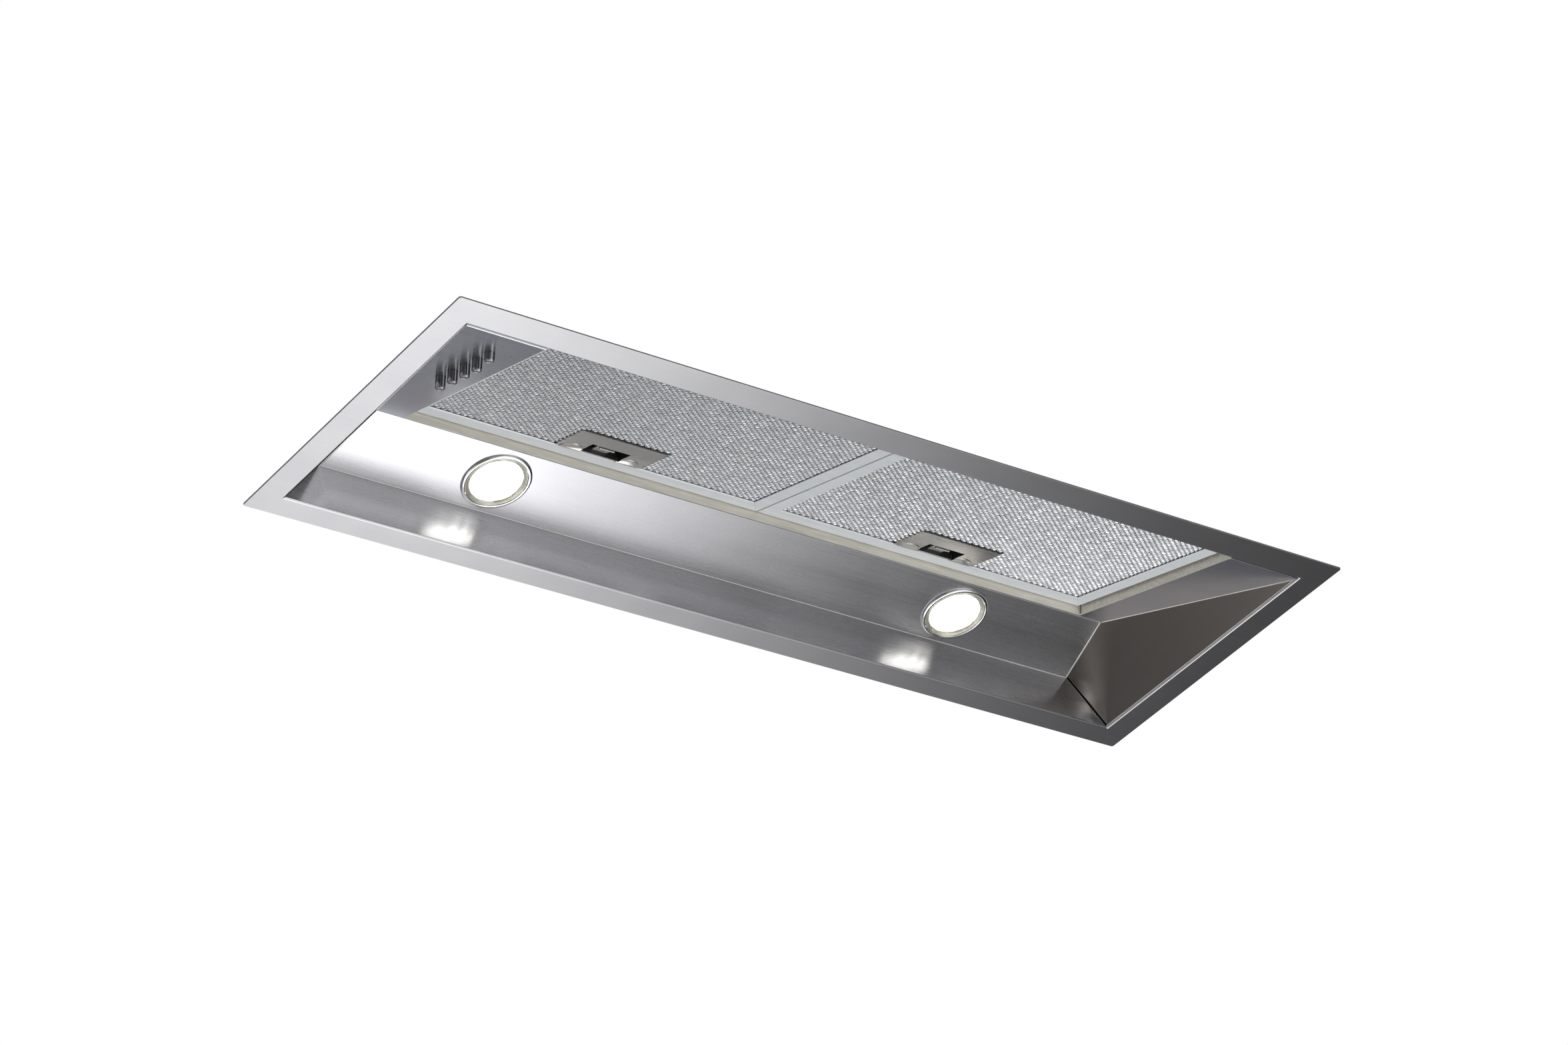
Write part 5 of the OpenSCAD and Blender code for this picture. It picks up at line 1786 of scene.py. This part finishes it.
@dataclass
class Studio:
    """Camera, pale floor, cupboard board, cards and lights, in metres. None of it is part of the hood."""

    eye: Point = (2.60074, 2.86022, -2.47960)
    turn: Point = (123.24796, 8.13175, 143.28341)
    lens: float = 135.401
    sensor: float = 36.0
    clip: Pair = (0.05, 60.0)
    sky: Pair = (0.6, 1.0)
    floor_z: float = -1.5
    floor_reach: float = 9.0
    board_z: float = 0.004
    board_reach: Pair = (2.5, 2.5)
    board_hole: Pair = (0.4088, 0.1358)
    card_top: float = 0.9
    card_gap: float = 0.03
    walls_x: Pair = (-3.2, 2.6)
    walls_y: Pair = (-2.5, 2.7)
    low_cards_y: Pair = (-1.2, 0.15)
    lit_point: Point = (0.0, 0.0, 0.1)

    def build(self) -> None:
        """Sets the scene up."""
        self.camera()
        self.world()
        self.floor()
        self.board()
        self.cards()
        self.lights()
        bpy.context.scene.view_settings.view_transform = "Standard"

    def camera(self) -> None:
        """Stands the camera where the photograph was taken from, below the hood."""
        data = bpy.data.cameras.new("camera")
        data.lens = self.lens
        data.sensor_width = self.sensor
        data.clip_start, data.clip_end = self.clip
        camera = bpy.data.objects.new("camera", data)
        camera.location = self.eye
        camera.rotation_euler = Euler([math.radians(a) for a in self.turn], "XYZ")
        bpy.context.scene.collection.objects.link(camera)
        bpy.context.scene.camera = camera

    def world(self) -> None:
        """Makes the white background, and a softer light from all round."""
        world = bpy.data.worlds.new("studio")
        world.use_nodes = True
        tree = world.node_tree
        tree.nodes.clear()
        soft, white = self.sky
        level = add_node(tree, "ShaderNodeMapRange", {0: picture_ray(tree), 3: soft, 4: white})
        light = add_node(tree, "ShaderNodeBackground", {"Color": linear(WHITE), "Strength": level})
        add_node(tree, "ShaderNodeOutputWorld", {"Surface": light})
        bpy.context.scene.world = world

    @staticmethod
    def rectangle(reach: Pair, z: float) -> list[Point]:
        """Corners of a level rectangle round the hood's middle."""
        return [(x * reach[0], y * reach[1], z) for x, y in ((-1, -1), (1, -1), (1, 1), (-1, 1))]

    def floor(self) -> None:
        """Lays the pale floor under the hood."""
        fades = (
            Fade(Axis.X, -1.35, -0.65, 0.02, 1.0),
            Fade(Axis.X, -1.0, -0.6, 1.0, 1.5),
            Fade(Axis.X, -0.6, 0.35, 1.0, 0.25),
            Fade(Axis.Y, -0.6, -0.2, 1.0, 0.6),
        )
        points = self.rectangle((self.floor_reach, self.floor_reach), self.floor_z)
        floor = stand("floor", points, PaleFloor("floor_pale_matt", 2.4, fades))

    def board(self) -> None:
        """Hangs the white underside of the cupboard that the hood is let into."""
        outer, hole = (self.rectangle(reach, self.board_z) for reach in (self.board_reach, self.board_hole))
        faces = [(4 + i, 4 + (i + 1) % 4, (i + 1) % 4, i) for i in range(4)]
        board = stand("cupboard_board", outer + hole, BoardPaint("board_painted_white"), faces)

    def cards(self) -> None:
        """Hangs a card on each side of the hood and lays two over the floor. No camera sees them."""
        left, right = self.walls_x
        front, rear = self.walls_y
        low = self.floor_z + self.card_gap
        front_edge, rear_edge = self.low_cards_y
        left_dark = Fade(Axis.X, -2.4, -0.7, 0.08, 1.0)
        front_fades = (Fade(Axis.Z, -1.5, -0.6, 1.4, 1.0), Fade(Axis.X, -2.4, -0.9, 0.5, 1.0))
        rear_low_fades = (Fade(Axis.X, -2.0, -0.7, 0.14, 1.0), Fade(Axis.X, 0.0, 0.7, 1.0, 0.1))
        front_low_fades = (Fade(Axis.X, -2.15, -1.25, 0.06, 1.0), Fade(Axis.X, 0.0, 0.6, 1.0, 0.05))
        walls = (
            ("front_card", (left, front), (right, front), 0.27, front_fades, "f4f6ff"),
            ("rear_card", (left, rear), (right, rear), 0.95, (left_dark,), "fff8ee"),
            ("left_card", (left, front), (left, rear), 0.05, (), "eef0ff"),
            ("right_card", (right, front), (right, rear), 0.15, (), "fff6ea"),
        )
        cards = []
        for name, start, end, *look in walls:
            heights = (self.floor_z, self.floor_z, self.card_top, self.card_top)
            points = [(*spot, z) for spot, z in zip((start, end, end, start), heights)]
            cards.append((name, points, *look))
        for name, near, far, strength, fades in (
            ("rear_low_card", rear_edge, rear, 1.4, rear_low_fades),
            ("front_low_card", front, front_edge, 0.95, front_low_fades),
        ):
            points = [(left, near, low), (right, near, low), (right, far, low), (left, far, low)]
            cards.append((name, points, strength, fades, WHITE))
        for name, points, strength, fades, tint in cards:
            card = stand(name, points, FadingLight(f"{name}_light", strength, fades, tint))
            card.visible_camera = False

    def lights(self) -> None:
        """Hangs two soft lights over the hood for its upper side."""
        target = Vector(self.lit_point)
        for name, place, size, power in (
            ("key_light", (-1.6, -2.2, 2.6), 1.8, 60.0),
            ("fill_light", (2.2, 1.4, 2.2), 2.2, 35.0),
        ):
            data = bpy.data.lights.new(name, "AREA")
            data.shape = "DISK"
            data.size = size
            data.energy = power
            light = bpy.data.objects.new(name, data)
            light.location = place
            light.rotation_euler = (target - Vector(place)).to_track_quat("-Z", "Y").to_euler()
            light.visible_camera = False
            bpy.context.scene.collection.objects.link(light)


def main() -> None:
    """Builds the studio and dresses the hood, one sub-assembly after the other."""
    logging.basicConfig(level=logging.INFO, format="%(name)s: %(message)s")
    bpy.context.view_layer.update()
    place = DeckFrame()
    Studio().build()
    parts = [
        Canopy(place),
        FilterPair(place),
        Lamps(place),
        ButtonRow(place),
        Fasteners(place),
        Housing(),
        Blower(),
    ]
    for part in parts:
        LOG.info("building %s", type(part).__name__)
        part.build()


if __name__ == "__main__":
    main()
